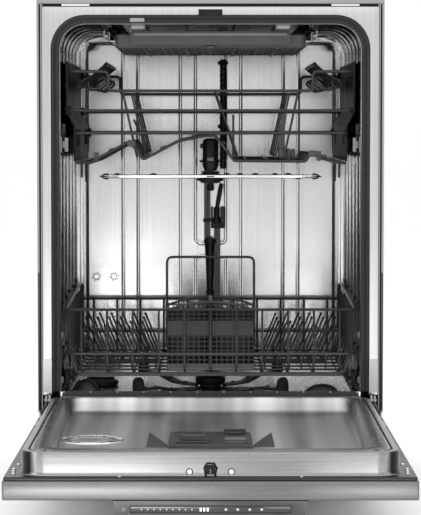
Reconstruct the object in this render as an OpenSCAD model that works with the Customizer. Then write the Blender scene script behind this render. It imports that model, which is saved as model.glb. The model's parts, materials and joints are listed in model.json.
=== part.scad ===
// Built-in dishwasher with an open drop-down door, three racks and a wash system.
// +X is right, +Y is the back, +Z is up. The origin is on the floor, midway
// between the open door's top edge and the back of the cabinet.

/* [Cabinet] */
// Width over the door and the edge trims
body_w = 596; // [594:1:600]
// Height from the floor to the top trim
body_h = 860; // [858:1:864]
// Depth from the door's sealing plane to the hose fittings
cabinet_depth = 530; // [528:1:545]
// Thickness of the steel sheet
sheet = 1; // [0.8:0.2:1.6]
// Half the width inside the tub
tub_hw = 259; // [258:0.5:260]
// Height of the tub's ceiling
tub_top = 819; // [818:0.5:821]
// Depth of the tub behind the sealing plane
tub_depth = 500; // [498:1:504]

/* [Door] */
// Height of the door's hinge axis
hinge_z = 172; // [170:0.5:174]
// Distance of the hinge axis in front of the sealing plane
hinge_set = 8; // [7:0.5:9]
// Thickness of the outer door panel
panel_t = 27.6; // [26:0.2:29]
// Height of the console above the outer panel
console_h = 38; // [34:1:42]

/* [Racks] */
// Diameter of the rack wire
wire_d = 4.6; // [4:0.2:5]
// Spacing of the upright rack wires
wire_pitch = 45; // [44:0.5:46]
// Diameter of the lower rack's wheels
wheel_d = 32; // [31:0.5:33]
// Half the length of the upper spray arm
upper_arm_len = 203; // [195:1:206]
// Half the length of the lower spray arm
lower_arm_len = 212; // [200:1:215]

/* [Hidden] */

door_len = body_h - 2 - hinge_z;                          // hinge axis to the door's top edge
front_y = (door_len + hinge_set - cabinet_depth) / 2;     // the door's sealing plane
rear_y = front_y + cabinet_depth;
hinge_y = front_y - hinge_set;
skin_y = rear_y - 3.2;                                    // outer face of the rear panel
half_w = body_w / 2;

// Tub and front frame
tub_r = 44;              // radius of the tub's upper corners
floor_z = 156;           // top of the tub's floor
sill_z = 186;            // top of the sill and of the wheel ledges
gasket_t = 14;           // width of the gasket round the mouth
frame_hw = 289;          // half the width of the front frame
frame_top = 848.5;
frame_t = 11;
ledge_in = 242;          // inner edge of the wheel ledges
seam = 0.3;              // joint line between pressed sheets
sump_r = 100;
sump_y = front_y + 250;
arm_turn = 51;            // angle of the lower spray arm's bars from the X axis
arm_w = 28;               // width of a bar
arm_z = floor_z + 8.8;    // underside of the bars over the sump
arm_rise = 11.2;          // height by which the bars' ends stand higher
filter_x = 66;
filter_y = sump_y;
filter_r = 28;
salt_x = -207;
salt_y = front_y + 360;

// Base
base_top = 150;
base_bottom = 24;
base_front = front_y + 60;
foot_x = 245;
foot_front_y = front_y + 84;
foot_rear_y = front_y + 470;
hose_wall = front_y + 484;             // front of the wall that holds the hose fittings
bracket_x = 225;                       // worktop screws
inlet_x = 200;
drain_x = 140;
hose_z = 95;
spigot_y = hose_wall + 14;             // where the hose spigots' full bore begins
inlet_r = 13.2;
drain_r = 10.5;
pump_y = front_y + 105;
pump_z = 80;

// Door, in the distance u along it from the hinge axis and the offset w towards the tub
panel_w0 = -61;                        // outer face
panel_w1 = panel_w0 + panel_t;
flange_w1 = -27.6;                     // liner's flange
rim_w = 8;                             // liner's sealing plane
panel_foot = -30;
liner_hw = 271.5;
liner_u0 = 5;
liner_u1 = 676;
recess_hw = 232;
recess_u0 = 17;
recess_u1 = 640;
recess_w = -19;
disp_hw = 64;
disp_u0 = 330;
disp_u1 = 482;
disp_w = -9;

// Racks
lower_y0 = front_y + 30;
lower_y1 = front_y + 470;
lower_hw = 250;
upper_y0 = front_y + 35;
upper_y1 = front_y + 468;
rail_d = 5.2;            // racks' top rails
thin_d = 4;              // lighter wires
tine_d = 3.6;
upright_in = (rail_d + thin_d) / 2 + 0.15;   // uprights stand this far inside the rails
tine_gap = 3.2;          // a tine's foot above its rod's centre
tine_h = 80;
tine_lean = 22;
tine_pitch = 21.5;
wheel_z = sill_z + 0.4 + wheel_d / 2;
wheel_rows = [front_y + 72, front_y + 400];
fold_y = front_y + 395;
fold_z = 218.5;
upper_floor = [[-233, 580.5], [-210, 580], [-140, 618], [-117, 586], [-56, 618], [-8, 628],
               [8, 628], [41, 584], [165, 583], [172, 595], [187, 593], [214, 582], [233, 580.5]];
upper_long = [-222, -175, -86, -32, 0, 60, 98, 136, 200, 224];   // long wires lying on gentle slopes
upper_steep = [24.5, 614];             // and one beside a steep slope

function fy(d) = front_y + d;
function profile_z(x) = lookup(x, upper_floor);

module block(x0, x1, y0, y1, z0, z1) {
    translate([x0, y0, z0]) cube([x1 - x0, y1 - y0, z1 - z0]);
}

// Block in door coordinates
module door_block(x0, x1, u0, u1, w0, w1) {
    block(x0, x1, hinge_y - u1, hinge_y - u0, hinge_z + w0, hinge_z + w1);
}

module both_sides() {
    children();
    mirror([1, 0, 0]) children();
}

// Outline with round upper corners, standing in the XZ plane
module arch(hw, top, r, bottom, y0, y1) {
    translate([0, y1, 0]) rotate([90, 0, 0]) linear_extrude(y1 - y0) {
        translate([-hw, bottom]) square([2 * hw, top - r - bottom]);
        translate([r - hw, bottom]) square([2 * (hw - r), top - bottom]);
        for (s = [-1, 1]) translate([s * (hw - r), top - r]) circle(r, $fn = 64);
    }
}

// Rectangle with round corners, lying flat
module round_rect(hx, y0, y1, r) {
    translate([-hx, y0 + r]) square([2 * hx, y1 - y0 - 2 * r]);
    translate([r - hx, y0]) square([2 * (hx - r), y1 - y0]);
    for (s = [-1, 1], y = [y0 + r, y1 - r]) translate([s * (hx - r), y]) circle(r, $fn = 48);
}

// Straight six-sided bar from a to b
module bar(a, b, d = wire_d) {
    v = b - a;
    len = norm(v);
    translate(a) rotate([0, acos(v.z / len), atan2(v.y, v.x)]) cylinder(h = len, d = d, $fn = 6);
}

// Bar along X
module rail(x0, x1, y, z, d = wire_d) bar([x0, y, z], [x1, y, z], d);

// Bent wire through points of the XZ plane
module bent(points, y, d = wire_d) {
    for (i = [0:len(points) - 2])
        bar([points[i].x, y, points[i].y], [points[i + 1].x, y, points[i + 1].y], d);
}

module tube_x(x0, x1, y, z, r) translate([x0, y, z]) rotate([0, 90, 0]) cylinder(h = x1 - x0, r = r, $fn = 48);
module tube_y(x, y0, y1, z, r) translate([x, y0, z]) rotate([-90, 0, 0]) cylinder(h = y1 - y0, r = r, $fn = 48);
module tube_z(x, y, z0, z1, r) translate([x, y, z0]) cylinder(h = z1 - z0, r = r, $fn = 48);

// ---- Tub and cabinet ----

module tub_wrapper() {
    color("silver") difference() {
        arch(tub_hw + sheet, tub_top + sheet, tub_r + sheet, floor_z, fy(14), fy(tub_depth));
        arch(tub_hw, tub_top, tub_r, floor_z - 1, fy(13), fy(tub_depth + 1));
    }
}

module tub_back() {
    color("silver") arch(tub_hw + sheet, tub_top + sheet, tub_r + sheet, floor_z, fy(tub_depth), fy(tub_depth) + sheet);
}

module tub_floor() {
    color("silver") {
        difference() {
            block(-tub_hw - sheet, tub_hw + sheet, fy(1), fy(tub_depth) + sheet, floor_z - sheet, floor_z);
            tube_z(0, sump_y, floor_z - 10, floor_z + 10, sump_r - sheet);
            tube_z(salt_x, salt_y, floor_z - 10, floor_z + 10, 26);
        }
        block(-tub_hw, tub_hw, fy(1), fy(1) + sheet, floor_z + seam, sill_z);
        both_sides() {
            block(ledge_in, tub_hw - seam, fy(4), fy(490), sill_z - sheet, sill_z);
            block(ledge_in, ledge_in + sheet, fy(4), fy(490), floor_z + seam, sill_z - sheet - seam);
        }
    }
}

module sump() {
    color("dimgray") difference() {
        union() {
            tube_z(0, sump_y, floor_z - 60, floor_z - sheet, sump_r + 2);
            tube_z(0, sump_y, floor_z - 60, arm_z - 1.3, 17);
        }
        difference() {
            tube_z(0, sump_y, floor_z - 56, floor_z, sump_r - 2);
            tube_z(0, sump_y, floor_z - 60, floor_z, 17);
        }
    }
}

module filter_plate() {
    color("lightgray") difference() {
        tube_z(0, sump_y, floor_z - 6, floor_z - 4.4, sump_r - 2.5);
        tube_z(0, sump_y, floor_z - 10, floor_z, 18);
        tube_z(filter_x, filter_y, floor_z - 10, floor_z, filter_r + 0.6);
    }
}

module filter_cup() {
    color("gray") difference() {
        union() {
            tube_z(filter_x, filter_y, floor_z - 52, floor_z + 4, filter_r);
            tube_z(filter_x, filter_y, floor_z + 4, floor_z + 7, filter_r + 4);
        }
        tube_z(filter_x, filter_y, floor_z - 50, floor_z + 8, filter_r - 2);
    }
}

module salt_cap() {
    color("black") {
        tube_z(salt_x, salt_y, floor_z + 2.5, floor_z + 12, 33);
        tube_z(salt_x, salt_y, floor_z - 10, floor_z + 3, 20);
        block(salt_x - 26, salt_x + 26, salt_y - 4, salt_y + 4, floor_z + 10, floor_z + 17);
    }
}

module front_frame() {
    color("silver") difference() {
        block(-frame_hw, frame_hw, fy(1), fy(1 + frame_t), hinge_z + 9, frame_top);
        arch(tub_hw + gasket_t + 0.3, tub_top + gasket_t + 0.3, 58.3, floor_z - 10, fy(0), fy(2 + frame_t));
        block(-21, 21, fy(0), fy(20), 834, 844);
    }
}

module door_gasket() {
    color("dimgray") difference() {
        arch(tub_hw + gasket_t, tub_top + gasket_t, 58, sill_z + 0.5, fy(1), fy(1 + frame_t));
        arch(tub_hw + 0.3, tub_top + 0.3, tub_r, sill_z, fy(0), fy(2 + frame_t));
    }
}

module latch_strike() {
    color("black") difference() {
        block(-20.5, 20.5, fy(1), fy(20), 834.3, 843.7);
        block(-14, 14, fy(0), fy(12), 836.5, 841.5);
    }
}

module edge_trims() {
    color("gainsboro") {
        block(-half_w, half_w, fy(1), fy(34), frame_top + 5, body_h);
        both_sides() block(frame_hw + 0.2, half_w, fy(1), fy(22), floor_z - 6, frame_top + 4.5);
    }
}

module side_panels() {
    color("lightgray") both_sides()
        block(half_w - 6, half_w - 6 + sheet, fy(22.5), skin_y, 34, frame_top + 2.5);
}

module rear_panel() {
    color("lightgray") difference() {
        block(-half_w + 6.5, half_w - 6.5, skin_y - sheet, skin_y, base_top + 2, frame_top + 2.5);
        for (x = [-180:60:180]) block(x - 18, x + 18, skin_y - 5, rear_y, 760, 766);
    }
}

module top_panel() {
    color("lightgray") difference() {
        block(-half_w + 6.5, half_w - 6.5, fy(34.5), skin_y - sheet - 0.2, frame_top + 2.5 - sheet, frame_top + 2.5);
        for (x = [-bracket_x, bracket_x]) tube_z(x, fy(56), frame_top, frame_top + 5, 6);
    }
}

module base() {
    color("black") difference() {
        union() {
            block(-288, 288, base_front, skin_y, base_bottom, base_bottom + 8);
            both_sides() block(276, 288, fy(32), skin_y, base_bottom, base_top);
            block(-288, 288, hose_wall, hose_wall + 12, base_bottom, base_top);
        }
        tube_y(inlet_x, hose_wall - 5, hose_wall + 20, hose_z, inlet_r);
        tube_y(drain_x, hose_wall - 5, hose_wall + 20, hose_z, drain_r);
        block(-216, -184, hose_wall - 5, hose_wall + 20, 82, 108);
        for (x = [-foot_x, foot_x], y = [foot_front_y, foot_rear_y]) tube_z(x, y, 0, 60, 5.4);
    }
}

module water_inlet() {
    color("ivory") {
        tube_y(inlet_x, hose_wall - 8, spigot_y + 1, hose_z, inlet_r - 1.2);
        tube_y(inlet_x, spigot_y, rear_y, hose_z, inlet_r);
        block(inlet_x - 20, inlet_x + 20, hose_wall - 50, hose_wall - 4, hose_z - 25, hose_z + 30);
    }
}

module drain_pump() {
    color("darkslategray") {
        tube_y(drain_x, fy(425), spigot_y + 1, hose_z, drain_r - 1.2);
        tube_y(drain_x, spigot_y, rear_y, hose_z, drain_r);
        tube_y(drain_x, fy(335), fy(428), hose_z - 11, 28);
        tube_y(drain_x, fy(345), fy(360), hose_z - 11, 36);
    }
}

module power_inlet() {
    color("black") difference() {
        block(-215, -185, hose_wall - 20, hose_wall + 26, 83, 107);
        block(-212, -188, hose_wall + 8, hose_wall + 30, 86.5, 103.5);
    }
}

module kick_plate() {
    color("dimgray") {
        block(-275.5, 275.5, fy(52), fy(54), 8, 102);
        for (x = [-210, 210]) block(x - 10, x + 10, fy(54), fy(60), 24, 32);
    }
}

module counterweight() {
    color("gray") block(-170, 110, fy(432), hose_wall - 2, base_bottom + 8.5, 80);
}

module circulation_pump() {
    color("slategray") {
        tube_x(60, 180, pump_y, pump_z, 36);
        tube_x(30, 61, pump_y, pump_z, 42);
        tube_x(179, 205, pump_y, pump_z, 24);
        block(95, 150, pump_y - 25, pump_y + 25, 32.5, 60);
    }
}

module softener_tank() {
    color("whitesmoke") difference() {
        union() {
            block(-248, -115, fy(285), fy(425), 36, 140);
            tube_z(salt_x, salt_y, 130, floor_z + 1, 25.4);
        }
        block(-245, -118, fy(288), fy(422), 39, 137);
        tube_z(salt_x, salt_y, 120, floor_z + 4, 21);
    }
}

module hinge_brackets() {
    color("silver") both_sides() difference() {
        union() {
            tube_x(275, 278.5, hinge_y, hinge_z, 12);
            block(275, 278.5, hinge_y, fy(70), base_top + 0.5, hinge_z + 8);
            block(273.8, 288.8, fy(-1.5), fy(0.8), hinge_z + 13, hinge_z + 70);
            block(275, 278.5, fy(-1.5), fy(0.8), hinge_z, hinge_z + 14);
        }
        tube_x(270, 285, hinge_y, hinge_z, 4.3);
    }
}

module door_springs() {
    color("gray") both_sides() {
        tube_y(262, fy(110), fy(300), 60, 9);
        tube_y(262, fy(80), fy(112), 60, 2.5);
        tube_y(262, fy(298), fy(330), 60, 2.5);
        block(258, 276, fy(328), fy(334), 50, 70);
    }
}

module feed_duct() {
    color("dimgray") {
        tube_z(-6.5, fy(488), 420, 572, 7);
        tube_z(24.6, fy(488), 560, 772, 6.4);
        bar([12, fy(488), 495], [24.6, fy(488), 566], 8);
        translate([-1, fy(488), 322]) cylinder(h = 106, r1 = 6, r2 = 11, $fn = 48);
        tube_z(-1, fy(488), floor_z, 330, 7);
        tube_z(12, fy(488), floor_z, 500, 4.5);
        tube_z(12, fy(488), 450, 490, 8);
        block(-13, 20, fy(480), fy(496), 462, 472);
        for (z = [640, 760]) block(14, 34, fy(484), fy(500), z, z + 8);
    }
}

module rails_fixed() {
    color("gainsboro") both_sides() {
        difference() {
            block(253, 258.8, fy(28), fy(470), 592, 632);
            block(252, 256.5, fy(27), fy(471), 597, 627);
        }
        difference() {
            block(176, 184, fy(24), fy(470), 797, 818.5);
            block(175, 182, fy(23), fy(471), 801, 813);
        }
    }
}

module worktop_brackets() {
    color("silver") both_sides() difference() {
        block(bracket_x - 20, bracket_x + 20, fy(34.5), fy(74), frame_top + 2.7, frame_top + 4.7);
        tube_z(bracket_x, fy(56), frame_top - 5, body_h + 5, 2.6);
    }
}

// One bar through the hub, low over the sump and raised at both ends.
module spray_bar() {
    r0 = 100;
    r1 = 145;
    right = [[r0, 0], [r1, arm_rise], [lower_arm_len, arm_rise], [lower_arm_len, arm_rise + 26],
        [lower_arm_len - 15, arm_rise + 26], [lower_arm_len - 15, arm_rise + 7], [r1 - 5, arm_rise + 7],
        [r0 - 5, 4.7]];
    left = [for (i = [len(right) - 1:-1:0]) [-right[i][0], right[i][1]]];
    translate([0, arm_w / 2, arm_z]) rotate([90, 0, 0]) linear_extrude(arm_w) polygon(concat(right, left));
}

module lower_arm() {
    color("black") translate([0, sump_y, 0]) {
        for (turn = [arm_turn, 180 - arm_turn]) rotate([0, 0, turn]) spray_bar();
        tube_z(0, 0, arm_z - 0.5, arm_z + 25, 28);
    }
}

module foot(x, y) {
    color("dimgray") {
        tube_z(x, y, 0, 9, 19);
        tube_z(x, y, 8, 56, 5);
        tube_z(x, y, 14, 21, 8);
    }
}

module foot_front_left() foot(-foot_x, foot_front_y);
module foot_front_right() foot(foot_x, foot_front_y);
module foot_rear_left() foot(-foot_x, foot_rear_y);
module foot_rear_right() foot(foot_x, foot_rear_y);

// ---- Door ----

module door_panel() {
    color("silver") difference() {
        door_block(-half_w, half_w, panel_foot, door_len, panel_w0, panel_w1);
        door_block(-half_w + sheet, half_w - sheet, panel_foot + sheet, door_len - sheet, panel_w0 + sheet, panel_w1 + 1);
    }
}

module door_core() {
    color("beige") door_block(-half_w + 2, half_w - 2, panel_foot + 2, door_len - 2, panel_w0 + sheet + 0.2, panel_w1 - 0.4);
}

module liner_outline(inset) {
    round_rect(liner_hw - inset, hinge_y - liner_u1 + inset, hinge_y - liner_u0 - inset, 36 - inset);
}

module recess_outline(grow) {
    round_rect(recess_hw + grow, hinge_y - recess_u1 - grow, hinge_y - recess_u0 + grow, 24 + grow);
}

// Pressed steel inner door: flange, raised box with its rim, and the sunk field
module door_liner() {
    wall_h = rim_w - flange_w1;
    color("silver") difference() {
        union() {
            door_block(-half_w + 2, half_w - 2, -4, door_len - 2, panel_w1 + 0.4, flange_w1);
            translate([0, 0, hinge_z + flange_w1 - 0.5]) linear_extrude(wall_h + 0.5) liner_outline(0);
            both_sides() door_block(244, 256, 20, 600, rim_w - 1, rim_w + 4);
        }
        difference() {
            translate([0, 0, hinge_z + panel_w1]) linear_extrude(rim_w - sheet - panel_w1) liner_outline(sheet);
            translate([0, 0, hinge_z + recess_w - sheet]) linear_extrude(40) recess_outline(sheet);
            both_sides() door_block(6.5, 9, 640, 675, panel_w1, rim_w - 1);
        }
        translate([0, 0, hinge_z + recess_w]) linear_extrude(60) recess_outline(0);
        door_block(-8, 8, 670, 680, -27, -12);
        tube_x(-12, 12, hinge_y - 655, hinge_z - 20, 2.1);
    }
}

module console() {
    half = 140.5;
    taper = console_h * tan(14);
    color("silver") difference() {
        translate([0, hinge_y - 640, hinge_z + panel_w0]) rotate([90, 0, 0]) linear_extrude(door_len - 641)
            polygon([[-half, 0], [half, 0], [half - taper, -console_h], [taper - half, -console_h]]);
        door_block(-118, 118, 630, 668, panel_w0 - console_h + 5, panel_w0 - 5);
        door_block(-115, 115, door_len - 4, door_len + 1, -79, -68.5);
        translate([-124, hinge_y - door_len, hinge_z - 73.5]) rotate([-90, 0, 0]) cylinder(h = 12, r = 4.3, $fn = 48);
    }
}

module display() {
    color("black") door_block(-114.5, 114.5, door_len - 3.8, door_len, -78.5, -69);
}

module power_button() {
    color("gainsboro") translate([-124, hinge_y - door_len + 0.4, hinge_z - 73.5]) rotate([-90, 0, 0])
        cylinder(h = 7, r = 3.9, $fn = 48);
}

module latch_claw() {
    color("gray") {
        door_block(-5.5, 5.5, 650, 669, -24, -16);
        door_block(-5.5, 5.5, 662, 669, -24, -8);
        tube_x(-6.3, 6.3, hinge_y - 655, hinge_z - 20, 1.9);
    }
}

module dispenser_body() {
    color("darkgray") difference() {
        door_block(-disp_hw, disp_hw, disp_u0, disp_u1, recess_w + 0.1, disp_w);
        door_block(-48, -6, 386, 462, recess_w + 2, disp_w + 1);
        translate([38, hinge_y - 352, hinge_z + recess_w + 2]) cylinder(h = 20, r = 14, $fn = 48);
    }
}

module dispenser_lid() {
    color("gray") {
        door_block(-52, -2, 382, 466, disp_w + 0.5, disp_w + 3);
        door_block(-40, -14, 384, 390, disp_w + 2.5, disp_w + 6);
    }
}

module rinse_cap() {
    color("black") {
        translate([38, hinge_y - 352, hinge_z + recess_w + 4]) cylinder(h = 8, r = 13, $fn = 48);
        translate([38, hinge_y - 352, hinge_z + disp_w + 0.5]) cylinder(h = 3, r = 18, $fn = 48);
        door_block(20, 56, 349, 355, disp_w + 3, disp_w + 7);
    }
}

module hinge_arms() {
    color("silver") both_sides() {
        tube_x(281, 284, hinge_y, hinge_z, 11);
        door_block(281, 284, 0, 150, -26.8, -4);
        tube_x(273.5, 286, hinge_y, hinge_z, 4);
        door_block(281, 292, 40, 150, -27.4, -24.4);
    }
}

// ---- Upper rack and cutlery tray ----

module upper_rack_floor() {
    color("dimgray") {
        for (d = [45:82:455]) bent(upper_floor, fy(d));
        for (x = upper_long) long_wire(x, profile_z(x) + 5.2);
        long_wire(upper_steep.x, upper_steep.y);
        tine_row([-114, 594], [-138, 701]);
        tine_row([114, 589.5], [138, 701]);
        tine_row([47, 589.5], [8, 707]);
    }
}

module long_wire(x, z) bar([x, fy(43), z], [x, fy(459), z], thin_d);

// Rod along the rack with slanted tines; low and high are points of the XZ plane
module tine_row(low, high) {
    bar([low.x, fy(60), low.y], [low.x, fy(440), low.y], thin_d);
    for (d = [70:120:430]) bar([low.x, fy(d), low.y + tine_gap], [high.x, fy(d), high.y], tine_d);
}

module upper_rack_ends() {
    top = [[-246, 738], [-177, 738], [-177, 705], [177, 705], [177, 738], [246, 738]];
    color("dimgray") for (y = [upper_y0, upper_y1]) {
        bent(top, y, rail_d);
        rail(-246, 246, y, 671);
        rail(-236, 236, y, 632);
    }
}

module upper_rack_sides() {
    color("dimgray") both_sides() translate([0, fy(462), 0]) rotate([90, 0, 0]) linear_extrude(422)
        polygon([[250, 757], [250, 669], [238, 644], [238, 618], [246, 618], [246, 606], [238, 606], [238, 582],
                 [234, 582], [234, 645], [246, 670], [246, 757]]);
}

module cup_shelf() {
    color("dimgray") {
        translate([226, 0, 713]) rotate([0, 41.6, 0]) difference() {
            block(-62, 0, fy(60), fy(430), -1.5, 1.5);
            for (d = [80:50:400]) block(-52, -14, fy(d), fy(d + 30), -3, 3);
        }
        tube_y(226, fy(52), fy(438), 713, 3);
    }
}

module cup_shelf_right() cup_shelf();
module cup_shelf_left() mirror([1, 0, 0]) cup_shelf();

module upper_manifold() {
    color("black") {
        tube_z(0, sump_y, 563, 600, 14);
        translate([0, sump_y, 600]) cylinder(h = 22, r1 = 14, r2 = 9, $fn = 48);
        tube_y(0, sump_y, fy(474), 572, 8);
        tube_z(0, fy(468), 520, 576, 7);
    }
}

module upper_arm() {
    color("silver") {
        block(-upper_arm_len + 20, upper_arm_len - 20, sump_y - 20, sump_y + 20, 549, 556);
        for (s = [-1, 1]) tube_z(s * (upper_arm_len - 20), sump_y, 549, 556, 20);
        tube_z(0, sump_y, 540, 562, 18);
    }
}

module upper_rails_mid() {
    color("gainsboro") both_sides() {
        block(246.5, 252.4, fy(34), fy(462), 600, 624);
        block(252, 256, fy(40), fy(456), 606, 618);
    }
}

module cutlery_tray() {
    color("dimgray") {
        difference() {
            block(-165, 165, fy(36), fy(465), 779, 801);
            block(-162, 162, fy(39), fy(462), 781.5, 802);
            for (x = [-150:30:120], d = [50:68:400]) block(x, x + 22, fy(d), fy(d + 56), 775, 785);
        }
        both_sides() {
            block(164, 175.5, fy(36), fy(465), 789, 792);
            block(173.5, 175.5, fy(36), fy(465), 789, 806);
            block(173.5, 181.6, fy(40), fy(461), 804, 806.5);
        }
        block(-139, 139, fy(26), fy(37), 783, 808);
    }
}

// ---- Lower rack ----

module lower_rack_floor() {
    color("dimgray") {
        for (x = [-5 * wire_pitch:wire_pitch:5 * wire_pitch]) bar([x, fy(38), 210], [x, fy(462), 210], thin_d);
        for (d = [45:58:451]) rail(-231, 231, fy(d), 214.1, thin_d);
        for (s = [-1, 1], d = [120, 210, 300]) leaning_row(s, fy(d), 218);
    }
}

// Row of tines on one side, leaning outwards
module leaning_row(s, y, z) {
    rail(s > 0 ? 92 : -210, s > 0 ? 210 : -92, y, z, thin_d);
    leaning_tines(s, y, z);
}

module leaning_tines(s, y, z) {
    for (i = [0:5]) {
        x = 97 + i * tine_pitch;
        bar([s * x, y, z + tine_gap], [s * (x + tine_h * tan(tine_lean)), y, z + tine_h], tine_d);
    }
}

module fold_tines() {
    color("dimgray") {
        tube_x(-231, 231, fold_y, fold_z, thin_d / 2);
        for (s = [-1, 1]) leaning_tines(s, fold_y, fold_z);
        for (x = [-64.5:tine_pitch:64.5]) bar([x, fold_y, fold_z + tine_gap], [x, fold_y, fold_z + tine_h], tine_d);
    }
}

module lower_rack_walls() {
    side_x = lower_hw - upright_in;
    color("dimgray") {
        end_wall(lower_y0, 326, 1);
        end_wall(lower_y1, 312, -1);
        both_sides() {
            bar([lower_hw, fy(35), 326], [lower_hw, fy(465), 346], rail_d);
            bar([lower_hw, fy(35), 249], [lower_hw, fy(465), 249]);
            bar([lower_hw - 10, fy(35), 214], [lower_hw - 10, fy(465), 214]);
            for (d = [50:50:450]) {
                bar([side_x, fy(d), 250], [side_x, fy(d), 326 + 20 * (d - 35) / 430], thin_d);
                bar([side_x - 10, fy(d), 214], [side_x, fy(d), 249], thin_d);
            }
            for (y = wheel_rows) {
                block(lower_hw - 11.5, lower_hw - 8.5, y - 7, y + 7, wheel_z - 6, 211.4);
                tube_x(lower_hw - 11, lower_hw + 5.5, y, wheel_z, 3);
            }
        }
    }
}

// Upright grid across the rack at depth y, with its top rail at height z and its uprights on the inner side
module end_wall(y, z, inward) {
    rail(-245, 245, y, z, rail_d);
    rail(-246, 246, y, 249);
    rail(-235, 235, y, 212);
    for (x = [-5 * wire_pitch:wire_pitch:5 * wire_pitch])
        bar([x, y + inward * upright_in, 212], [x, y + inward * upright_in, z], thin_d);
}

module wheel(x0, y) {
    color("dimgray") translate([x0, y, wheel_z]) rotate([0, 90, 0]) rotate_extrude($fn = 48)
        polygon([[3.3, 0], [7, 0], [7, 1.5], [wheel_d / 2 - 3, 1.5], [wheel_d / 2 - 3, 0], [wheel_d / 2, 0],
                 [wheel_d / 2, 8], [wheel_d / 2 - 3, 8], [wheel_d / 2 - 3, 6.5], [7, 6.5], [7, 8], [3.3, 8]]);
}

module wheel_front_left() wheel(-255, wheel_rows[0]);
module wheel_front_right() wheel(247, wheel_rows[0]);
module wheel_rear_left() wheel(-255, wheel_rows[1]);
module wheel_rear_right() wheel(247, wheel_rows[1]);

module cutlery_basket() {
    color("dimgray") {
        difference() {
            block(-76.5, 76.5, fy(48), fy(176), 217.5, 330);
            for (x = [-74.5, 2]) block(x, x + 72.5, fy(50), fy(174), 220, 331);
            for (x = [-70:14:56], z = [228:17:313]) block(x + 2, x + 11, fy(40), fy(180), z, z + 11);
        }
        bent([[-77, 290], [-77, 405], [-69, 413], [69, 413], [77, 405], [77, 290]], fy(112), 5);
    }
}

// ---- One node at a time, or all of them ----

tub_wrapper();
tub_back();
tub_floor();
sump();
filter_plate();
filter_cup();
salt_cap();
front_frame();
door_gasket();
latch_strike();
edge_trims();
side_panels();
rear_panel();
top_panel();
base();
water_inlet();
drain_pump();
power_inlet();
kick_plate();
counterweight();
circulation_pump();
softener_tank();
hinge_brackets();
door_springs();
feed_duct();
rails_fixed();
worktop_brackets();
lower_arm();
foot_front_left();
foot_front_right();
foot_rear_left();
foot_rear_right();
door_panel();
door_core();
door_liner();
console();
display();
power_button();
latch_claw();
dispenser_body();
dispenser_lid();
rinse_cap();
hinge_arms();
upper_rack_floor();
upper_rack_ends();
upper_rack_sides();
cup_shelf_left();
cup_shelf_right();
upper_manifold();
upper_arm();
upper_rails_mid();
cutlery_tray();
lower_rack_floor();
lower_rack_walls();
fold_tines();
cutlery_basket();
wheel_front_left();
wheel_front_right();
wheel_rear_left();
wheel_rear_right();
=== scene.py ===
"""Looks of the built-in dishwasher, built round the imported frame.

Lengths below are millimetres in the frame's own axes: +X right, +Y back, +Z up.
They become metres when a piece is made.
"""
import json
import math

import bmesh
import bpy
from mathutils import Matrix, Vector


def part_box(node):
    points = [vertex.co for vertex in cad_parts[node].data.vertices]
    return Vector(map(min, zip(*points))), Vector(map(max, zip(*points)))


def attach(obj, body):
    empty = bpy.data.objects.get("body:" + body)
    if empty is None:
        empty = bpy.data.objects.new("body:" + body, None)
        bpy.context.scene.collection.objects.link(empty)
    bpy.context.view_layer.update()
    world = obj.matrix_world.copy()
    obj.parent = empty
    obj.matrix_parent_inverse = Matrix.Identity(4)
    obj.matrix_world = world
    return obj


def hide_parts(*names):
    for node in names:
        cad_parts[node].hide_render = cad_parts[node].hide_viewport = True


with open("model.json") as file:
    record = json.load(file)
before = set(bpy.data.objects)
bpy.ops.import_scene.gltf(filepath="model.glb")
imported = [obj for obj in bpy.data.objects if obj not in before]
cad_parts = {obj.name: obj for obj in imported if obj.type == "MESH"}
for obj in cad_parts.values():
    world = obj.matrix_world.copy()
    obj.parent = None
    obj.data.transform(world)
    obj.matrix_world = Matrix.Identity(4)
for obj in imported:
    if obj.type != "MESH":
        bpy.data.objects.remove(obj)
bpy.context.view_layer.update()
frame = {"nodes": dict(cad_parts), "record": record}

MM = 0.001


# ---- Places taken from the frame ----

def low(node):
    return Vector(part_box(node)[0]) / MM


def high(node):
    return Vector(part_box(node)[1]) / MM


def joint_place(name):
    for joint in frame["record"]["behaviour"]["joints"]:
        if joint["name"] == name:
            return Vector(joint["pos_m"]) / MM
    raise ValueError(name)


def centre_of(node):
    a, b = low(node), high(node)
    return (a.x + b.x) / 2, (a.y + b.y) / 2, (a.z + b.z) / 2


FRONT = low("tub_floor").y - 1              # plane on which the door seals
HINGE = joint_place("door_hinge")
HALF_W = high("edge_trims").x
TUB_HW = high("tub_wrapper").x - 1.0
TUB_TOP = high("tub_wrapper").z - 1.0
TUB_BACK = low("tub_back").y
TUB_R = 44
FLOOR = low("tub_wrapper").z
DOOR_LEN = HINGE.y - low("door_panel").y
SIDES = ((-1, "left"), (1, "right"))
CORNERS = ("front_left", "front_right", "rear_left", "rear_right")


def at_depth(d):
    return FRONT + d


def on_door(x, u, w):
    """A point of the door: u away from the hinge, w towards the tub."""
    return Vector((x, HINGE.y - u, HINGE.z + w))


# ---- Materials ----

def new_nodes(name):
    material = bpy.data.materials.new(name)
    material.use_nodes = True
    tree = material.node_tree
    tree.nodes.clear()
    out = tree.nodes.new("ShaderNodeOutputMaterial")
    shader = tree.nodes.new("ShaderNodeBsdfPrincipled")
    tree.links.new(shader.outputs[0], out.inputs[0])
    return material, tree, shader


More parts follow.
